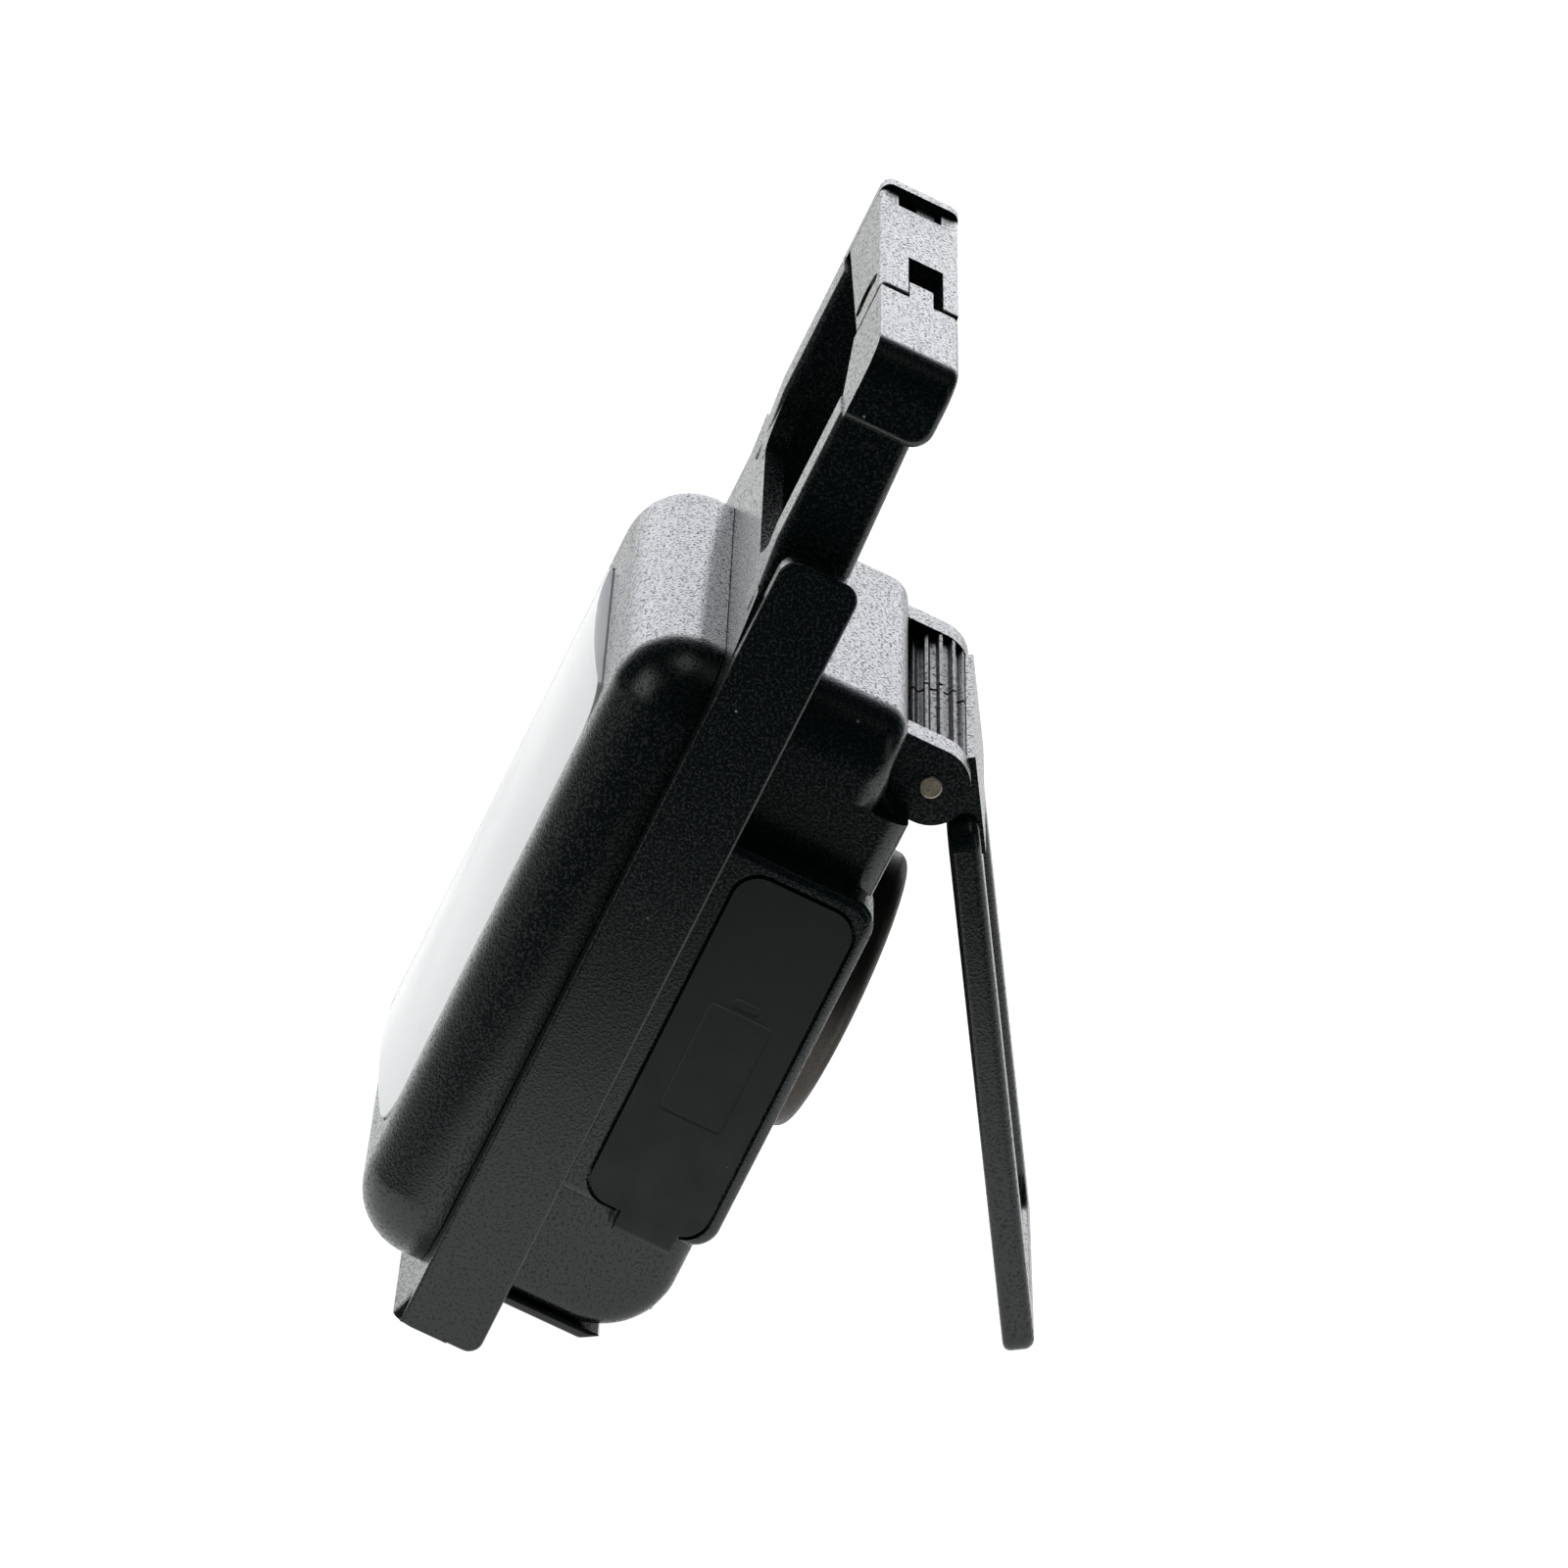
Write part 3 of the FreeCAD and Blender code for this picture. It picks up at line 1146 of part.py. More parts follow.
def switch_pieces():
    """The power button on the far bay, its switch and board, and the charge window."""
    place = (d.cover_middle, d.button_height)
    flange_end = -d.button_inside + d.button_flange_thickness
    cap = rod("button_cap", "x", -d.bay_face - d.button_proud, -d.button_inside, place, d.button_radius)
    flange = rod("button_flange_disc", "x", -d.button_inside, flange_end, place,
                 d.button_radius + d.button_flange)
    stem = rod("button_stem_rod", "x", flange_end, -d.stem_end, place, d.button_stem)
    finish(fuse("power_button", [cap, flange, stem]), "power_button")

    half = d.switch_size / 2
    switch = box_shape("power_switch", (-d.switch_face, -d.switch_back),
                       (d.cover_middle - half, d.cover_middle + half),
                       (d.button_height - half, d.button_height + half))
    finish(switch, "power_switch")
    low = d.button_height - half - d.board_thickness
    board = box_shape("switch_board", (-d.switch_back, -d.switch_back + d.board_thickness),
                      (d.housing_front + d.housing_wall, d.wall_back),
                      (low, low + d.switch_board_height))
    finish(board, "switch_board")
    window = new_body("indicator_window")
    pad(window, "indicator_bar", "side", [indicator_outline(d.running_gap)],
        -d.bay_face, -d.button_inside)
    finish(window, "indicator_window")


def battery_pieces():
    """Two round cells in a cradle against the housing's rear wall."""
    places = {
        "battery_cell_left": (-d.cell_spacing / 2, d.cell_y),
        "battery_cell_right": (d.cell_spacing / 2, d.cell_y),
    }
    top = d.cell_base + d.cell_length
    for name, place in places.items():
        finish(bar_body(name, "top", place, d.cell_radius, d.cell_base, top), name)
    cradle = new_body("battery_cradle")
    ends = d.cradle_wall
    pad(cradle, "cradle_block", "top",
        [rectangle(-d.cradle_half, d.cradle_half, d.cradle_front, d.wall_back)],
        d.cell_base - d.cell_gap - ends, top + d.cell_gap + ends)
    rounds = [Round(x, y, d.cell_radius + d.cell_gap) for x, y in places.values()]
    for index, shape in enumerate(rounds):
        pocket(cradle, f"cell_bed_{index}", "top", [shape],
               d.cell_base - d.cell_gap, top + d.cell_gap)
    finish(cradle, "battery_cradle")


def magnet_pieces():
    """The round magnet on the back: steel cup, magnet and screw."""
    centre = (0, d.magnet_height)
    cup = new_body("magnet_cup")
    pad(cup, "cup_disc", "front", [Round(*centre, d.magnet_radius)], d.cup_base, d.magnet_face)
    round_edges(cup, "cup_edge", d.cup_round, y=at(d.magnet_face))
    floor = d.cup_base + d.cup_wall
    pocket(cup, "cup_room", "front", [Round(*centre, d.magnet_radius - d.cup_wall)],
           floor, d.magnet_face + 1)
    pocket(cup, "cup_hole", "front", [Round(*centre, d.magnet_screw_radius)],
           d.cup_base - 1, floor + 1)
    finish(cup, "magnet_cup")
    magnet = new_body("magnet")
    pad(magnet, "magnet_ring", "front",
        [Round(*centre, d.magnet_radius - d.cup_wall - d.magnet_gap), Round(*centre, d.magnet_hole)],
        floor, d.magnet_face - d.magnet_inset)
    finish(magnet, "magnet")
    head_back = floor + d.magnet_screw_head_height
    shank = rod("magnet_shank", "y", d.wall_back + d.cell_gap, head_back, centre, d.magnet_screw_radius)
    head = rod("magnet_screw_cap", "y", floor, head_back, centre, d.magnet_screw_head)
    finish(fuse("magnet_screw", [shank, head]), "magnet_screw")


def hinge_pieces():
    """The hinge pin, the detent spring, and the ribbed barrels that turn with the stand."""
    end = d.ear_outer + d.pin_proud
    finish(bar_body("hinge_pin", "side", (d.pin_y, d.pin_z), d.pin_radius, -end, end), "hinge_pin")
    half = d.detent_width / 2
    detent = box_shape("detent_spring", (-half, half),
                       (d.trough_front, d.trough_front + d.detent_thickness),
                       (d.pin_z - d.detent_height / 2, d.pin_z + d.detent_height / 2))
    finish(detent, "detent_spring")

    for name, sign in (("hinge_barrel_near", 1), ("hinge_barrel_far", -1)):
        body = new_body(name)
        start, stop = both_sides(d.barrel_split, d.barrel_end, sign)
        core = d.barrel_radius - d.rib_height
        pad(body, f"{name}_core", "side", [Round(0, 0, core)], start, stop)
        half = d.rib_width / 2
        rib = [(-half, core - half), (half, core - half), (half / 2, d.barrel_radius),
               (-half / 2, d.barrel_radius)]
        first = pad(body, f"{name}_rib", "side", [rib], start, stop)
        pattern = body.newObject("PartDesign::PolarPattern", f"{name}_ribs")
        pattern.Originals = [first]
        pattern.Axis = (origin_feature(body, "X_Axis"), [""])
        pattern.Angle = 360
        pattern.setExpression("Occurrences", d.rib_count.text)
        body.Tip = pattern
        doc.recompute()
        pocket(body, f"{name}_bore", "side", [Round(0, 0, d.pin_radius + d.running_gap)],
               start - 1, stop + 1)
        finish(body, name, swung=True)


def stand_body():
    """The swing-out stand: two legs, a bottom bar, and a spine behind the barrels."""
    body = new_body("stand")
    half = d.stand_half
    pad(body, "stand_plate", "front", [rectangle(-half, half, -d.stand_length, -d.stand_shoulder)],
        d.stand_offset, d.stand_back)
    round_edges(body, "stand_corners", d.stand_corner, along="y", z=at(-d.stand_length))
    round_edges(body, "shoulder_corners", d.stand_inner_corner, along="y", z=at(-d.stand_shoulder))
    window = rectangle(-d.stand_window, d.stand_window,
                       -d.stand_length + d.stand_foot, -d.stand_window_top)
    pocket(body, "stand_window_cut", "front", [window], d.stand_offset - 1, d.stand_back + 1)
    round_edges(body, "window_corners", d.stand_inner_corner, along="y",
                x=(-d.stand_window, d.stand_window), z=(-d.stand_length + d.stand_foot, -d.stand_window_top))
    round_edges(body, "stand_rear_edge", d.stand_edge, y=at(d.stand_back),
                z=(-d.stand_length, -d.stand_shoulder - TINY * 2))
    round_edges(body, "foot_edge", d.foot_radius, along="x", y=at(d.stand_offset), z=at(-d.stand_length))
    spine_back = d.barrel_radius + d.spine_thickness
    pad(body, "spine", "front",
        [rectangle(-d.barrel_end, d.barrel_end, -d.stand_window_top + d.stand_edge, d.spine_height)],
        d.stand_offset, spine_back)
    pocket(body, "barrel_seat", "side", [Round(0, 0, d.barrel_radius)],
           -d.barrel_end - 1, d.barrel_end + 1)
    finish(body, "stand", swung=True)


def foot_strip():
    """The glossy strip under the rear housing."""
    half = d.housing_half - d.strip_inset
    low = d.housing_base - d.strip_thickness
    body = new_body("base_strip")
    back = d.housing_front + d.strip_depth
    outline = [
        (d.housing_front, low),
        (back - d.strip_slope, low),
        (back, d.housing_base),
        (d.housing_front, d.housing_base),
    ]
    pad(body, "strip_bar", "side", [outline], -half, half)
    finish(body, "base_strip")


def check_and_export():
    """Check every object, set the lamp on its origin, and write one STEP file for each piece."""
    doc.recompute()
    bounds = FreeCAD.BoundBox()
    for piece in NODES:
        bounds.add(piece.Shape.BoundBox)
    for offset, value in enumerate((-bounds.Center.y, -bounds.ZMin), start=1):
        sheet.set(f"B{len(DRIVING) + offset}", repr(round(value, 6)))
    doc.recompute()
    for thing in doc.Objects:
        if "Invalid" in thing.State or "Error" in thing.State:
            raise ValueError(f"{thing.Label} failed: {thing.State}")
    os.makedirs("parts", exist_ok=True)
    for piece in NODES:
        if piece.Shape.isNull() or not piece.Shape.isValid():
            raise ValueError(f"{piece.Label} has no valid shape")
        piece.Shape.exportStep(f"parts/{piece.Label}.step")
        print(piece.Label, len(piece.Shape.Solids), round(piece.Shape.Volume, 2))
    print("lean", round(d.lean.number, 4), "shift", sheet.shift_y, sheet.shift_z)


frame_pieces()
gate_pieces()
shell_pieces()
housing_body()
housing_screws()
port_pieces()
switch_pieces()
battery_pieces()
magnet_pieces()
hinge_pieces()
stand_body()
foot_strip()
check_and_export()
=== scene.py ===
"""Finishes, modelled details and the studio for a compact rechargeable work light."""

import json
import math

import bpy
from mathutils import Matrix, Vector


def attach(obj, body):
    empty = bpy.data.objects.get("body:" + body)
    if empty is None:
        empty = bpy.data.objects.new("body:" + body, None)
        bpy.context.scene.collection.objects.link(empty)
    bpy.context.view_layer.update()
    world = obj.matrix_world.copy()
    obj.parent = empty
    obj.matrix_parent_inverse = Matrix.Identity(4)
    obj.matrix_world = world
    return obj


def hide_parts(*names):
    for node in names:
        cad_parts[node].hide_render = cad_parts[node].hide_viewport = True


bl_info = {
    "name": "Work Light",
    "version": (1, 0, 0),
    "blender": (4, 5, 0),
    "location": "View3D > Sidebar > Work Light",
    "description": "Finishes a rechargeable work light and sets up its studio",
    "category": "Object",
}

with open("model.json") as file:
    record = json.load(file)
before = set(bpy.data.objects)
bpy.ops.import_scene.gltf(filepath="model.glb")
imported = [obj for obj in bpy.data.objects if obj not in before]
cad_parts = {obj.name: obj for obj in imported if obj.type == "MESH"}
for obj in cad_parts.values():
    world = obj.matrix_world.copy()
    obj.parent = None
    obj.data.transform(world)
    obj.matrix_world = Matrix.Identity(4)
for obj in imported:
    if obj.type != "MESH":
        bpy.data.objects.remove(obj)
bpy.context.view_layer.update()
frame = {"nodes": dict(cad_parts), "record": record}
MM = 0.001
# Edges sharper than this are eased, and stay edges when a piece is shaded smooth.
SHARP = math.radians(30)

JOINTS = {joint["name"]: joint for joint in frame["record"]["behaviour"]["joints"]}
GATE_AXIS = Vector(JOINTS["gate_pivot"]["axis"])
LEAN = math.atan2(-GATE_AXIS.z, GATE_AXIS.y)
# Turns the lamp's own axes (across, front to back, up the frame) into the leaning lamp's.
LAMP_TURN = Matrix.Rotation(-LEAN, 4, "X")


def linear(hexa):
    """An sRGB hex colour as linear RGBA."""
    channels = [int(hexa[i:i + 2], 16) / 255 for i in (1, 3, 5)]
    return [c / 12.92 if c <= 0.04045 else ((c + 0.055) / 1.055) ** 2.4 for c in channels] + [1.0]


def turned_box(node, turn):
    """Lowest and highest corner of a CAD node in turned axes."""
    back = turn.inverted()
    spots = [back @ vertex.co for vertex in frame["nodes"][node].data.vertices]
    low = Vector([min(spot[i] for spot in spots) for i in range(3)])
    high = Vector([max(spot[i] for spot in spots) for i in range(3)])
    return low, high


# ---------------------------------------------------------------------------------------------
# Settings that a user may change
# ---------------------------------------------------------------------------------------------

class WorkLightFinish(bpy.types.PropertyGroup):
    """Colours and surface sizes of the lamp."""

    moulding: bpy.props.StringProperty(
        name="Moulding", description="Colour of the textured mouldings, sRGB hex",
        default="#0A1011")
    rubber: bpy.props.StringProperty(
        name="Rubber", description="Colour of the port cover, sRGB hex", default="#0C1213")
    diffuser: bpy.props.StringProperty(
        name="Diffuser", description="Colour of the milky lens, sRGB hex", default="#F4F6F6")
    steel: bpy.props.StringProperty(
        name="Steel", description="Colour of the bright pins, sRGB hex", default="#B0A592")
    grain: bpy.props.FloatProperty(
        name="Grain", description="Width of the spark texture's grains", default=0.4 * MM,
        unit="LENGTH")
    edge: bpy.props.FloatProperty(
        name="Edge", description="Rounding of the mouldings' edges", default=0.28 * MM,
        unit="LENGTH")


class WorkLightStudio(bpy.types.PropertyGroup):
    """Camera and lights."""

    lens: bpy.props.FloatProperty(
        name="Lens", description="Focal length in millimetres", default=248.0)
    elevation: bpy.props.FloatProperty(
        name="Elevation", description="Camera above the horizon", default=math.radians(16.14),
        subtype="ANGLE")
    turn: bpy.props.FloatProperty(
        name="Turn", description="Camera turned towards the lens side from the port side",
        default=math.radians(1.12), subtype="ANGLE")
    roll: bpy.props.FloatProperty(
        name="Roll", description="Camera roll", default=math.radians(6.38), subtype="ANGLE")
    distance: bpy.props.FloatProperty(
        name="Distance", description="Camera to the aim point", default=1.424, unit="LENGTH")
    aim: bpy.props.FloatVectorProperty(
        name="Aim", description="Point in the middle of the picture",
        default=(0, 0.00479, 0.06641), subtype="TRANSLATION")
    key: bpy.props.FloatProperty(
        name="Key", description="Power of the front softbox in watts", default=3.2)
    top: bpy.props.FloatProperty(
        name="Top", description="Power of the top softbox in watts", default=0.8)
    rim: bpy.props.FloatProperty(
        name="Rim", description="Power of the rear strip light in watts", default=0.5)
    floor_edge: bpy.props.FloatProperty(
        name="Floor Edge", description="Where the lit floor ends, in front of the lamp",
        default=0.18, unit="LENGTH")


# ---------------------------------------------------------------------------------------------
# Materials
# ---------------------------------------------------------------------------------------------

def add(tree, kind, inputs=None, **settings):
    """Add a shader node; an input is linked if it is given an output, and set if a value."""
    node = tree.nodes.new(kind)
    for name, value in settings.items():
        setattr(node, name, value)
    for socket, value in (inputs or {}).items():
        if isinstance(value, bpy.types.NodeSocket):
            tree.links.new(value, node.inputs[socket])
        else:
            node.inputs[socket].default_value = value
    return node


def new_material(name, colour, roughness, metallic=0.0):
    """A material with a Principled shader, its tree and its Object coordinates."""
    material = bpy.data.materials.new(name)
    material.use_nodes = True
    tree = material.node_tree
    shader = tree.nodes["Principled BSDF"]
    shader.inputs["Base Color"].default_value = linear(colour)
    shader.inputs["Roughness"].default_value = roughness
    shader.inputs["Metallic"].default_value = metallic
    coordinates = add(tree, "ShaderNodeTexCoord").outputs["Object"]
    return material, tree, shader, coordinates


def ramp(tree, source, stops):
    """A colour ramp over grey values: pairs of place and grey, or place and hex colour."""
    node = add(tree, "ShaderNodeValToRGB", {"Fac": source})
    elements = node.color_ramp.elements
    for index, (place, value) in enumerate(stops):
        element = elements[index] if index < len(elements) else elements.new(place)
        element.position = place
        element.color = linear(value) if isinstance(value, str) else (value, value, value, 1)
    return node.outputs["Color"]


def specks(tree, coordinates, spacing, size, share):
    """Sparse round specks: 1 on a speck and 0 elsewhere."""
    cells = add(tree, "ShaderNodeTexVoronoi", {"Vector": coordinates, "Scale": 1 / spacing})
    round_mask = add(tree, "ShaderNodeMath", {0: cells.outputs["Distance"], 1: size / spacing},
                     operation="LESS_THAN")
    chance = add(tree, "ShaderNodeSeparateColor", {"Color": cells.outputs["Color"]})
    picked = add(tree, "ShaderNodeMath", {0: chance.outputs["Red"], 1: share},
                 operation="LESS_THAN")
    both = add(tree, "ShaderNodeMath", {0: round_mask.outputs[0], 1: picked.outputs[0]},
               operation="MULTIPLY")
    return both.outputs[0]


def spark_textured_abs(name, grain, depth, roughness):
    """Black ABS from a spark-eroded mould: fine pits that scatter the light into a satin grain."""
    colour = bpy.context.scene.work_light_finish.moulding
    material, tree, shader, coordinates = new_material(name, colour, roughness)
    shader.inputs["IOR"].default_value = 1.53
    # Pits about a grain wide break the reflections into light and dark points. The real grain is
    # finer, and is drawn as coarse as it needs to show.
    pits = add(tree, "ShaderNodeTexNoise",
               {"Vector": coordinates, "Scale": 1 / grain, "Detail": 2.5, "Roughness": 0.6})
    bump = add(tree, "ShaderNodeBump",
               {"Height": pits.outputs["Fac"], "Strength": 1.0, "Distance": depth})
    tree.links.new(bump.outputs["Normal"], shader.inputs["Normal"])
    # The deeper pits are dull, so they show as dark points on a shining face.
    tree.links.new(ramp(tree, pits.outputs["Fac"], [(0.38, roughness + 0.38), (0.48, roughness)]),
                   shader.inputs["Roughness"])
    # Pale dust caught in the texture.
    dust = specks(tree, coordinates, 4.5 * MM, 0.22 * MM, 0.2)
    tree.links.new(ramp(tree, dust, [(0.0, colour), (1.0, "#A4A8AA")]),
                   shader.inputs["Base Color"])
    return material


def smooth_rubber():
    """Moulded silicone rubber: smooth, matt and slightly blue-green black, with settled dust."""
    finish = bpy.context.scene.work_light_finish
    material, tree, shader, coordinates = new_material(
        "moulded_silicone_rubber", finish.rubber, 0.5)
    shader.inputs["IOR"].default_value = 1.43
    mottled = add(tree, "ShaderNodeTexNoise",
                  {"Vector": coordinates, "Scale": 220.0, "Detail": 5.0})
    tree.links.new(ramp(tree, mottled.outputs["Fac"], [(0.3, 0.42), (0.75, 0.6)]),
                   shader.inputs["Roughness"])
    dust = specks(tree, coordinates, 2.2 * MM, 0.13 * MM, 0.35)
    tree.links.new(ramp(tree, dust, [(0.0, finish.rubber), (1.0, "#5C6668")]),
                   shader.inputs["Base Color"])
    return material


def milky_polycarbonate():
    """Opal polycarbonate: white all through, with a clear gloss skin."""
    finish = bpy.context.scene.work_light_finish
    material, tree, shader, coordinates = new_material("opal_polycarbonate", finish.diffuser, 0.16)
    shader.inputs["IOR"].default_value = 1.58
    shader.inputs["Subsurface Weight"].default_value = 0.25
    shader.inputs["Subsurface Radius"].default_value = (0.004, 0.004, 0.004)
    shader.inputs["Subsurface Scale"].default_value = 1.0
    haze = add(tree, "ShaderNodeTexNoise", {"Vector": coordinates, "Scale": 35.0, "Detail": 3.0})
    tree.links.new(ramp(tree, haze.outputs["Fac"], [(0.35, 0.12), (0.7, 0.24)]),
                   shader.inputs["Roughness"])
    return material


def ground_steel(name, colour, roughness, scratch=0.25 * MM):
    """Steel with turning and handling marks, each about a scratch wide."""
    material, tree, shader, coordinates = new_material(name, colour, roughness, 1.0)
    marks = add(tree, "ShaderNodeTexNoise",
                {"Vector": coordinates, "Scale": 1 / scratch, "Detail": 6.0, "Distortion": 1.5})
    bump = add(tree, "ShaderNodeBump",
               {"Height": marks.outputs["Fac"], "Strength": 0.5, "Distance": 0.03 * MM})
    tree.links.new(bump.outputs["Normal"], shader.inputs["Normal"])
    wear = ramp(tree, marks.outputs["Fac"], [(0.3, roughness - 0.1), (0.7, roughness + 0.15)])
    tree.links.new(wear, shader.inputs["Roughness"])
    return material


def plain_part(name, colour, roughness, metallic=0.0):
    """A moulded, printed or plated inner part: one colour, gently mottled."""
    material, tree, shader, coordinates = new_material(name, colour, roughness, metallic)
    noise = add(tree, "ShaderNodeTexNoise", {"Vector": coordinates, "Scale": 150.0, "Detail": 4.0})
    low = max(roughness - 0.08, 0.05)
    tree.links.new(ramp(tree, noise.outputs["Fac"], [(0.3, low), (0.7, roughness + 0.1)]),
                   shader.inputs["Roughness"])
    return material


# ---------------------------------------------------------------------------------------------
# Modelling helpers
# ---------------------------------------------------------------------------------------------

def deselect():
    """Leave edit mode and select nothing."""
    if bpy.context.mode != "OBJECT":
        bpy.ops.object.mode_set(mode="OBJECT")
    bpy.ops.object.select_all(action="DESELECT")


def pick(piece):
    """Make a piece the only selected one, and active."""
    deselect()
    piece.select_set(True)
    bpy.context.view_layer.objects.active = piece


def body_of(node):
    """The moving body that a CAD node belongs to."""
    for body, nodes in frame["record"]["behaviour"]["bodies"].items():
        if node in nodes:
            return body
    raise RuntimeError(f"{node} is in no body")


def paint(piece, material):
    """Give a modelled piece its only finish."""
    piece.data.materials.clear()
    piece.data.materials.append(material)


def paint_node(node, material):
    """Give a CAD node its finish, its mesh as it is."""
    for slot in frame["nodes"][node].material_slots:
        slot.material = material


def smooth(piece):
    """Shade a piece smooth between its sharp edges."""
    pick(piece)
    bpy.ops.object.shade_smooth_by_angle(angle=SHARP)


def settle(piece, node, material):
    """Hand a finished piece over: it takes the node's place, body and finish."""
    pick(piece)
    bpy.ops.object.transform_apply(location=True, rotation=True, scale=True)
    paint(piece, material)
    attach(piece, body_of(node))
    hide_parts(node)


def eased_copy(node, width, segments=2):
    """A copy of a CAD node whose sharp edges are eased, as on a moulded or machined part."""
    source = frame["nodes"][node]
    piece = bpy.data.objects.new(f"{node}_eased", source.data.copy())
    bpy.context.collection.objects.link(piece)
    pick(piece)
    bpy.ops.object.mode_set(mode="EDIT")
    bpy.ops.mesh.select_all(action="SELECT")
    bpy.ops.mesh.remove_doubles(threshold=0.002 * MM)
    bpy.ops.mesh.dissolve_limited(angle_limit=math.radians(0.4))
    bpy.ops.object.mode_set(mode="OBJECT")
    bevel = piece.modifiers.new("eased_edges", "BEVEL")
    bevel.width = width
    bevel.segments = segments
    bevel.limit_method = "ANGLE"
    bevel.angle_limit = SHARP
    bpy.ops.object.modifier_apply(modifier=bevel.name)
    smooth(piece)
    # Large flat faces keep their own shading, and only the roundings between them blend.
    flats = piece.modifiers.new("flat_faces", "WEIGHTED_NORMAL")
    flats.mode = "FACE_AREA"
    flats.weight = 100
    flats.keep_sharp = True
    bpy.ops.object.modifier_apply(modifier=flats.name)
    return piece


def raised_outline(name, size, line, height):
    """A raised outline on a plane across X: a round-cornered block with a sunk middle, in mm."""
    deselect()
    bpy.ops.mesh.primitive_cube_add(size=1)
    piece = bpy.context.active_object
    piece.name = name
    piece.scale = (2 * height * MM, size[0] * MM, size[1] * MM)
    bpy.ops.object.transform_apply(location=False, rotation=False, scale=True)
    bpy.ops.object.mode_set(mode="EDIT")
    bpy.ops.mesh.select_mode(type="EDGE")
    bpy.ops.mesh.select_all(action="DESELECT")
    bpy.ops.object.mode_set(mode="OBJECT")
    spots = piece.data.vertices
    for edge in piece.data.edges:
        a, b = (spots[index].co for index in edge.vertices)
        edge.select = abs(a.x - b.x) > height * MM
    bpy.ops.object.mode_set(mode="EDIT")
    bpy.ops.mesh.bevel(offset=line * MM, segments=4, affect="EDGES")
    bpy.ops.mesh.select_mode(type="FACE")
    bpy.ops.mesh.select_all(action="DESELECT")
    bpy.ops.object.mode_set(mode="OBJECT")
    for face in piece.data.polygons:
        face.select = face.normal.x > 0.9
    bpy.ops.object.mode_set(mode="EDIT")
    bpy.ops.mesh.inset(thickness=line * MM)
    bpy.ops.transform.translate(value=(-1.5 * height * MM, 0, 0))
    bpy.ops.object.mode_set(mode="OBJECT")
    smooth(piece)
    return piece


class WORKLIGHT_OT_mouldings(bpy.types.Operator):
    """Finish the frame, shells, gate and stand as spark-textured mouldings"""

    bl_idname = "work_light.mouldings"
    bl_label = "Mouldings"

    def execute(self, context):
        finish = context.scene.work_light_finish
        textured = spark_textured_abs("spark_textured_abs", finish.grain, 0.05 * MM, 0.2)
        for node in ("main_frame", "front_shell", "rear_housing", "gate", "stand"):
            piece = eased_copy(node, finish.edge)
            settle(piece, node, textured)
        satin = spark_textured_abs("satin_abs", finish.grain * 1.5, 0.03 * MM, 0.36)
        for node in ("hinge_barrel_near", "hinge_barrel_far"):
            settle(eased_copy(node, 0.08 * MM), node, satin)
        gloss = plain_part("polished_abs", "#121314", 0.16)
        settle(eased_copy("base_strip", 0.5 * MM), "base_strip", gloss)
        paint_node("socket_bezel", textured)
        return {"FINISHED"}


class WORKLIGHT_OT_diffuser(bpy.types.Operator):
    """Finish the milky lens"""

    bl_idname = "work_light.diffuser"
    bl_label = "Diffuser"

    def execute(self, context):
        settle(eased_copy("lens", 0.15 * MM, segments=3), "lens", milky_polycarbonate())
        return {"FINISHED"}


class WORKLIGHT_OT_port_cover(bpy.types.Operator):
    """Finish the rubber port cover and the power button"""

    bl_idname = "work_light.port_cover"
    bl_label = "Port cover"

    def execute(self, context):
        rubber = smooth_rubber()
        settle(eased_copy("port_cover", 0.35 * MM, segments=3), "port_cover", rubber)
        settle(eased_copy("power_button", 0.4 * MM, segments=3), "power_button", rubber)
        low, high = turned_box("port_cover", LAMP_TURN)
        middle = (low + high) / 2
        face = high.x - 0.02 * MM
        # The outline of a battery with its tip above it: widths, heights and line in mm.
        body, tip, tip_height, line, relief = (9, 16), (4, 1.6), 9.1, 0.7, 0.07
        for name, height, size in (("battery_mark", middle.z, body),
                                   ("battery_mark_tip", middle.z + tip_height * MM, tip)):
            mark = raised_outline(name, size, line, relief)
            pick(mark)
            mark.matrix_world = LAMP_TURN @ Matrix.Translation((face, middle.y, height))
            bpy.ops.object.transform_apply(location=True, rotation=True, scale=True)
            paint(mark, rubber)
            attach(mark, "cover")
        return {"FINISHED"}


class WORKLIGHT_OT_hardware(bpy.types.Operator):
    """Finish the pins, screws and magnet"""

    bl_idname = "work_light.hardware"
    bl_label = "Pins, screws and magnet"

    def execute(self, context):
        steel = context.scene.work_light_finish.steel
        bright = ground_steel("ground_nickel_steel", steel, 0.3)
        settle(eased_copy("hinge_pin", 0.2 * MM, segments=3), "hinge_pin", bright)
        settle(eased_copy("gate_pin", 0.2 * MM, segments=3), "gate_pin", bright)
        zinc = ground_steel("zinc_plated_steel", "#8D8F90", 0.38)
        for node in ("housing_screws", "magnet_screw", "spreader_screws", "board_screws",
                     "detent_spring", "gate_spring"):
            paint_node(node, zinc)
        nickel = ground_steel("nickel_plated_steel", "#A6A59F", 0.26)
        for node in ("usb_a_socket", "usb_c_socket"):
            paint_node(node, nickel)
        cup = ground_steel("blackened_steel", "#4A4744", 0.45, scratch=0.5 * MM)
        paint_node("magnet_cup", cup)
        paint_node("magnet", plain_part("sintered_ferrite", "#3A3531", 0.6))
        return {"FINISHED"}


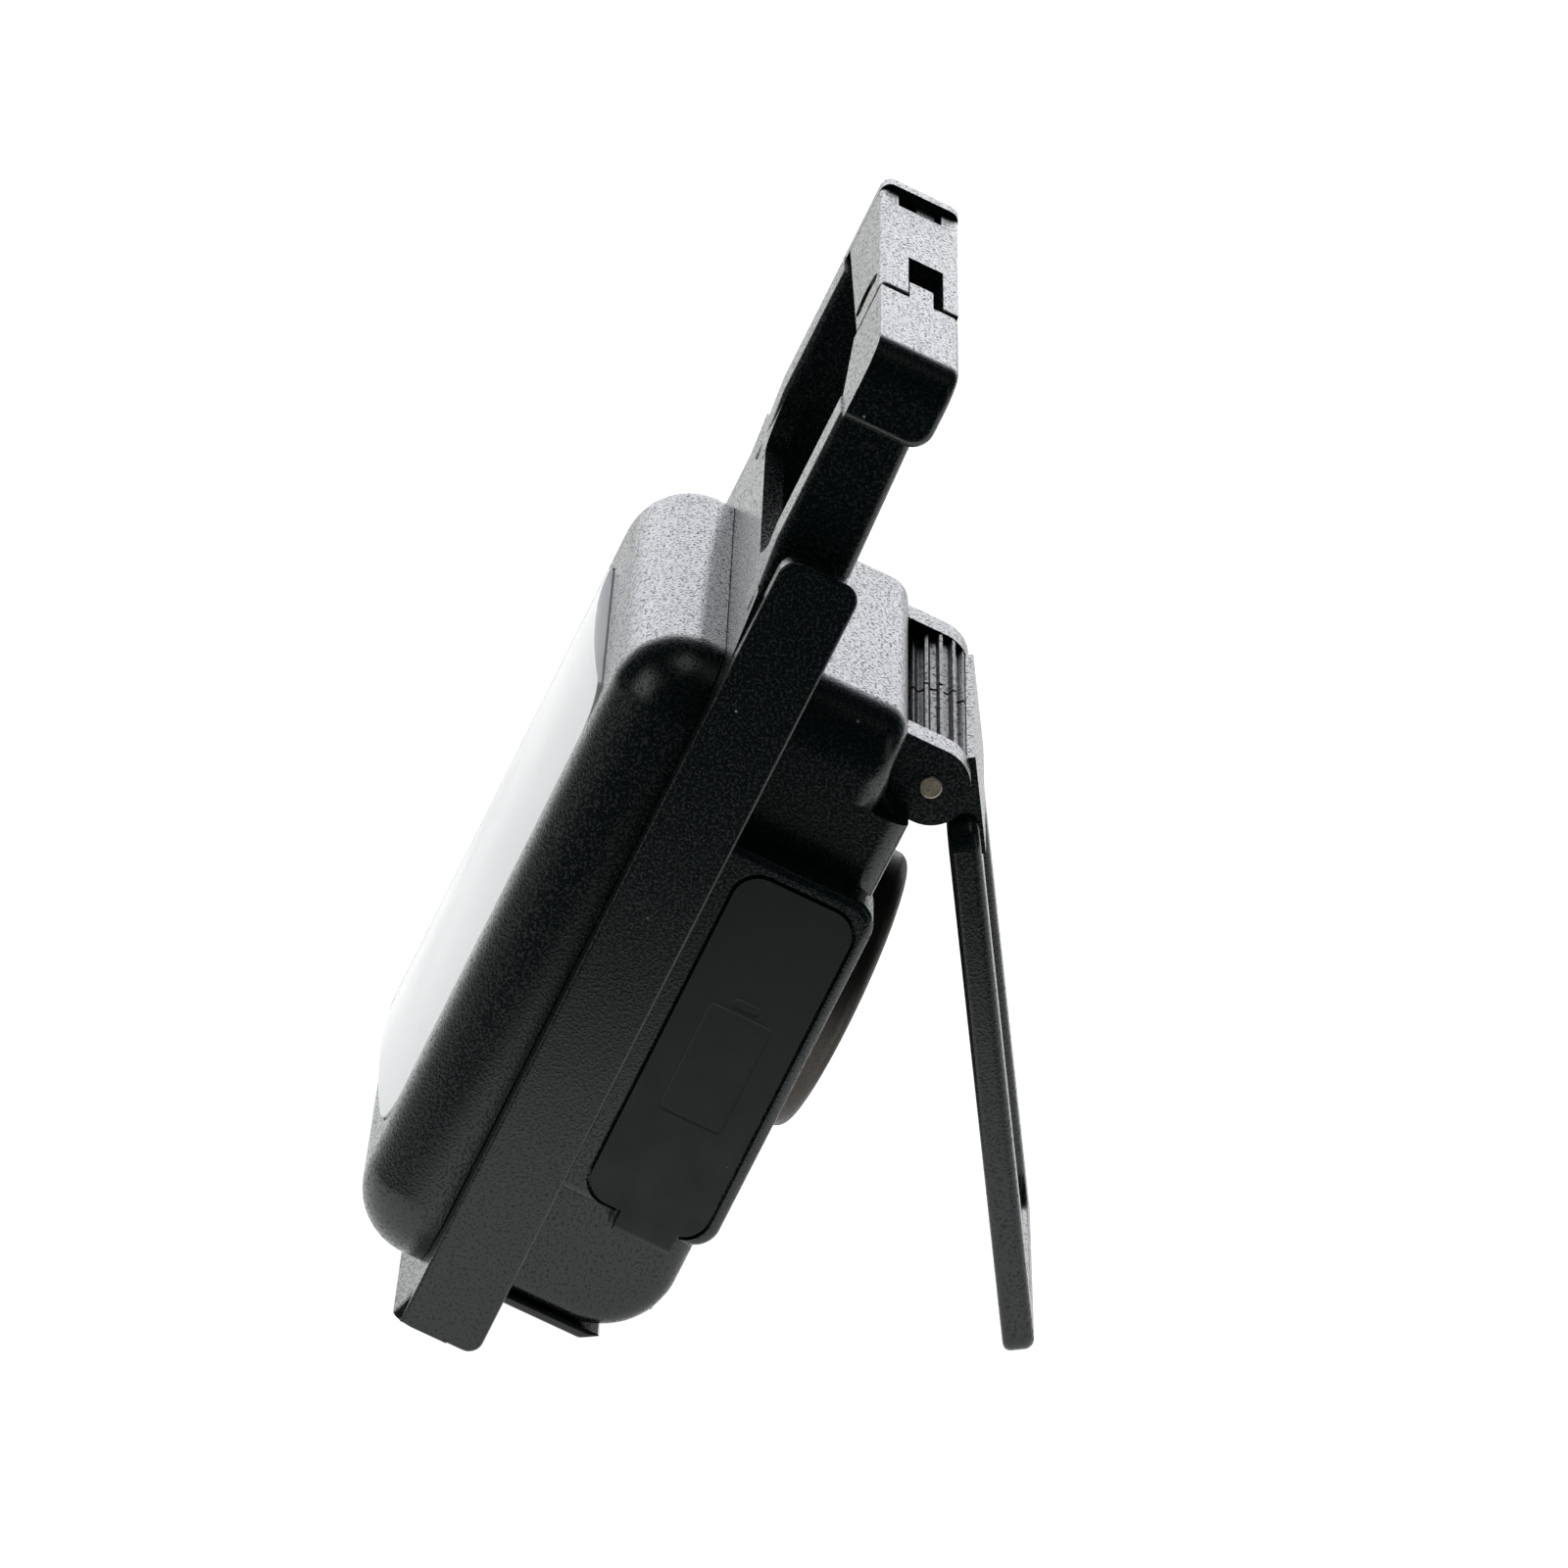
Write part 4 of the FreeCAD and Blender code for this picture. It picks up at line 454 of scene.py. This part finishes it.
class WORKLIGHT_OT_inner_parts(bpy.types.Operator):
    """Finish the parts inside the lamp"""

    bl_idname = "work_light.inner_parts"
    bl_label = "Inner parts"

    def execute(self, context):
        inner = {
            "moulded_seal_rubber": ("#0E0E0E", 0.6, 0.0, ("lens_gasket", "housing_seal")),
            "white_moulded_abs": ("#E2E2DE", 0.4, 0.0, ("reflector_tray", "battery_cradle")),
            "clear_moulded_window": ("#B8C2C8", 0.12, 0.0, ("indicator_window",)),
            "green_solder_mask": (
                "#1B5A36", 0.35, 0.0, ("led_board", "control_board", "switch_board")),
            "black_switch_body": ("#17181A", 0.4, 0.0, ("power_switch",)),
            "stamped_aluminium": ("#C9C9CB", 0.35, 1.0, ("heat_spreader",)),
            "blue_shrink_wrap": ("#1E5A96", 0.3, 0.0, ("battery_cell_left", "battery_cell_right")),
        }
        for name, (colour, roughness, metallic, nodes) in inner.items():
            material = plain_part(name, colour, roughness, metallic)
            for node in nodes:
                paint_node(node, material)
        return {"FINISHED"}


# ---------------------------------------------------------------------------------------------
# Studio
# ---------------------------------------------------------------------------------------------

def aim_at(thing, place, target):
    """Put a light at a place and turn it to a target."""
    thing.location = place
    thing.rotation_euler = (Vector(target) - Vector(place)).to_track_quat("-Z", "Y").to_euler()


def softbox(name, place, target, width, height, power):
    """A rectangular soft light."""
    data = bpy.data.lights.new(name, "AREA")
    data.shape = "RECTANGLE"
    data.size = width
    data.size_y = height
    data.energy = power
    light = bpy.data.objects.new(name, data)
    bpy.context.collection.objects.link(light)
    aim_at(light, place, target)
    return light


class WORKLIGHT_OT_stage(bpy.types.Operator):
    """Set up the floor, the lights, the surroundings and the camera"""

    bl_idname = "work_light.stage"
    bl_label = "Studio"

    def execute(self, context):
        studio = context.scene.work_light_studio
        deselect()
        # The floor ends in front of the lamp, so sides turned to the camera mirror the dim room.
        side = 12
        bpy.ops.mesh.primitive_plane_add(
            size=side, location=(studio.floor_edge - side / 2, 0, 0))
        bpy.ops.object.transform_apply(location=True, rotation=False, scale=False)
        floor = context.active_object
        floor.name = "floor"
        material, tree, shader, coordinates = new_material("lit_white_acrylic", "#F7F7F7", 0.9)
        # A light table: its own glow keeps the floor white and leaves hardly any shadow.
        shader.inputs["Emission Color"].default_value = linear("#FFFFFF")
        shader.inputs["Emission Strength"].default_value = 1.0
        paint(floor, material)

        middle = (0, 0, 0.07)
        softbox("front_light", (0.5, -1.3, 0.9), middle, 0.9, 0.9, studio.key)
        softbox("top_light", (0.1, 0.1, 1.3), middle, 0.6, 0.6, studio.top)
        softbox("rear_light", (0.4, 1.2, 0.5), middle, 0.25, 0.9, studio.rim)

        # A narrow bright wall stands behind the lamp, and the rest of the room is dim, so that
        # faces seen almost edge on shine and faces turned to the camera stay black.
        world = bpy.data.worlds.new("surroundings")
        context.scene.world = world
        world.use_nodes = True
        tree = world.node_tree
        tree.nodes.clear()
        way = add(tree, "ShaderNodeSeparateXYZ",
                  {"Vector": add(tree, "ShaderNodeTexCoord").outputs["Generated"]})
        behind = add(tree, "ShaderNodeMath", {0: way.outputs["X"], 1: -1.0}, operation="MULTIPLY")
        wall = ramp(tree, behind.outputs[0], [(0.76, 0.0), (0.94, 1.0)])
        dim = add(tree, "ShaderNodeBackground", {"Color": linear("#B9F2EE"), "Strength": 0.035})
        bright = add(tree, "ShaderNodeBackground", {"Color": linear("#F6F7FC"), "Strength": 3.0})
        room = add(tree, "ShaderNodeMixShader", {0: wall, 1: dim.outputs[0], 2: bright.outputs[0]})
        white = add(tree, "ShaderNodeBackground", {"Color": linear("#FFFFFF"), "Strength": 1.2})
        rays = add(tree, "ShaderNodeLightPath")
        mix = add(tree, "ShaderNodeMixShader",
                  {0: rays.outputs["Is Camera Ray"], 1: room.outputs[0], 2: white.outputs[0]})
        add(tree, "ShaderNodeOutputWorld", {"Surface": mix.outputs[0]})
        context.scene.view_settings.view_transform = "Standard"

        data = bpy.data.cameras.new("camera")
        data.lens = studio.lens
        data.sensor_width = 36
        data.clip_end = 50
        camera = bpy.data.objects.new("camera", data)
        context.collection.objects.link(camera)
        flat = math.cos(studio.elevation)
        back = Vector((math.cos(studio.turn) * flat, -math.sin(studio.turn) * flat,
                       math.sin(studio.elevation)))
        right = Vector((math.sin(studio.turn), math.cos(studio.turn), 0))
        up = back.cross(right)
        axes = Matrix((right, up, back)).transposed() @ Matrix.Rotation(studio.roll, 3, "Z")
        camera.matrix_world = (Matrix.Translation(Vector(studio.aim) + studio.distance * back)
                               @ axes.to_4x4())
        context.scene.camera = camera
        return {"FINISHED"}


class WORKLIGHT_PT_panel(bpy.types.Panel):
    """Lists the work light's steps in the order they are run"""

    bl_idname = "WORKLIGHT_PT_panel"
    bl_label = "Work Light"
    bl_space_type = "VIEW_3D"
    bl_region_type = "UI"
    bl_category = "Work Light"

    def draw(self, context):
        for step in STEPS:
            self.layout.operator(step.bl_idname)


STEPS = (
    WORKLIGHT_OT_mouldings,
    WORKLIGHT_OT_diffuser,
    WORKLIGHT_OT_port_cover,
    WORKLIGHT_OT_hardware,
    WORKLIGHT_OT_inner_parts,
    WORKLIGHT_OT_stage,
)
CLASSES = (WorkLightFinish, WorkLightStudio, *STEPS, WORKLIGHT_PT_panel)


def register():
    for cls in CLASSES:
        bpy.utils.register_class(cls)
    bpy.types.Scene.work_light_finish = bpy.props.PointerProperty(type=WorkLightFinish)
    bpy.types.Scene.work_light_studio = bpy.props.PointerProperty(type=WorkLightStudio)


def unregister():
    del bpy.types.Scene.work_light_studio
    del bpy.types.Scene.work_light_finish
    for cls in reversed(CLASSES):
        bpy.utils.unregister_class(cls)


def main():
    register()
    for step in STEPS:
        group, name = step.bl_idname.split(".")
        getattr(getattr(bpy.ops, group), name)()


if __name__ == "__main__":
    main()
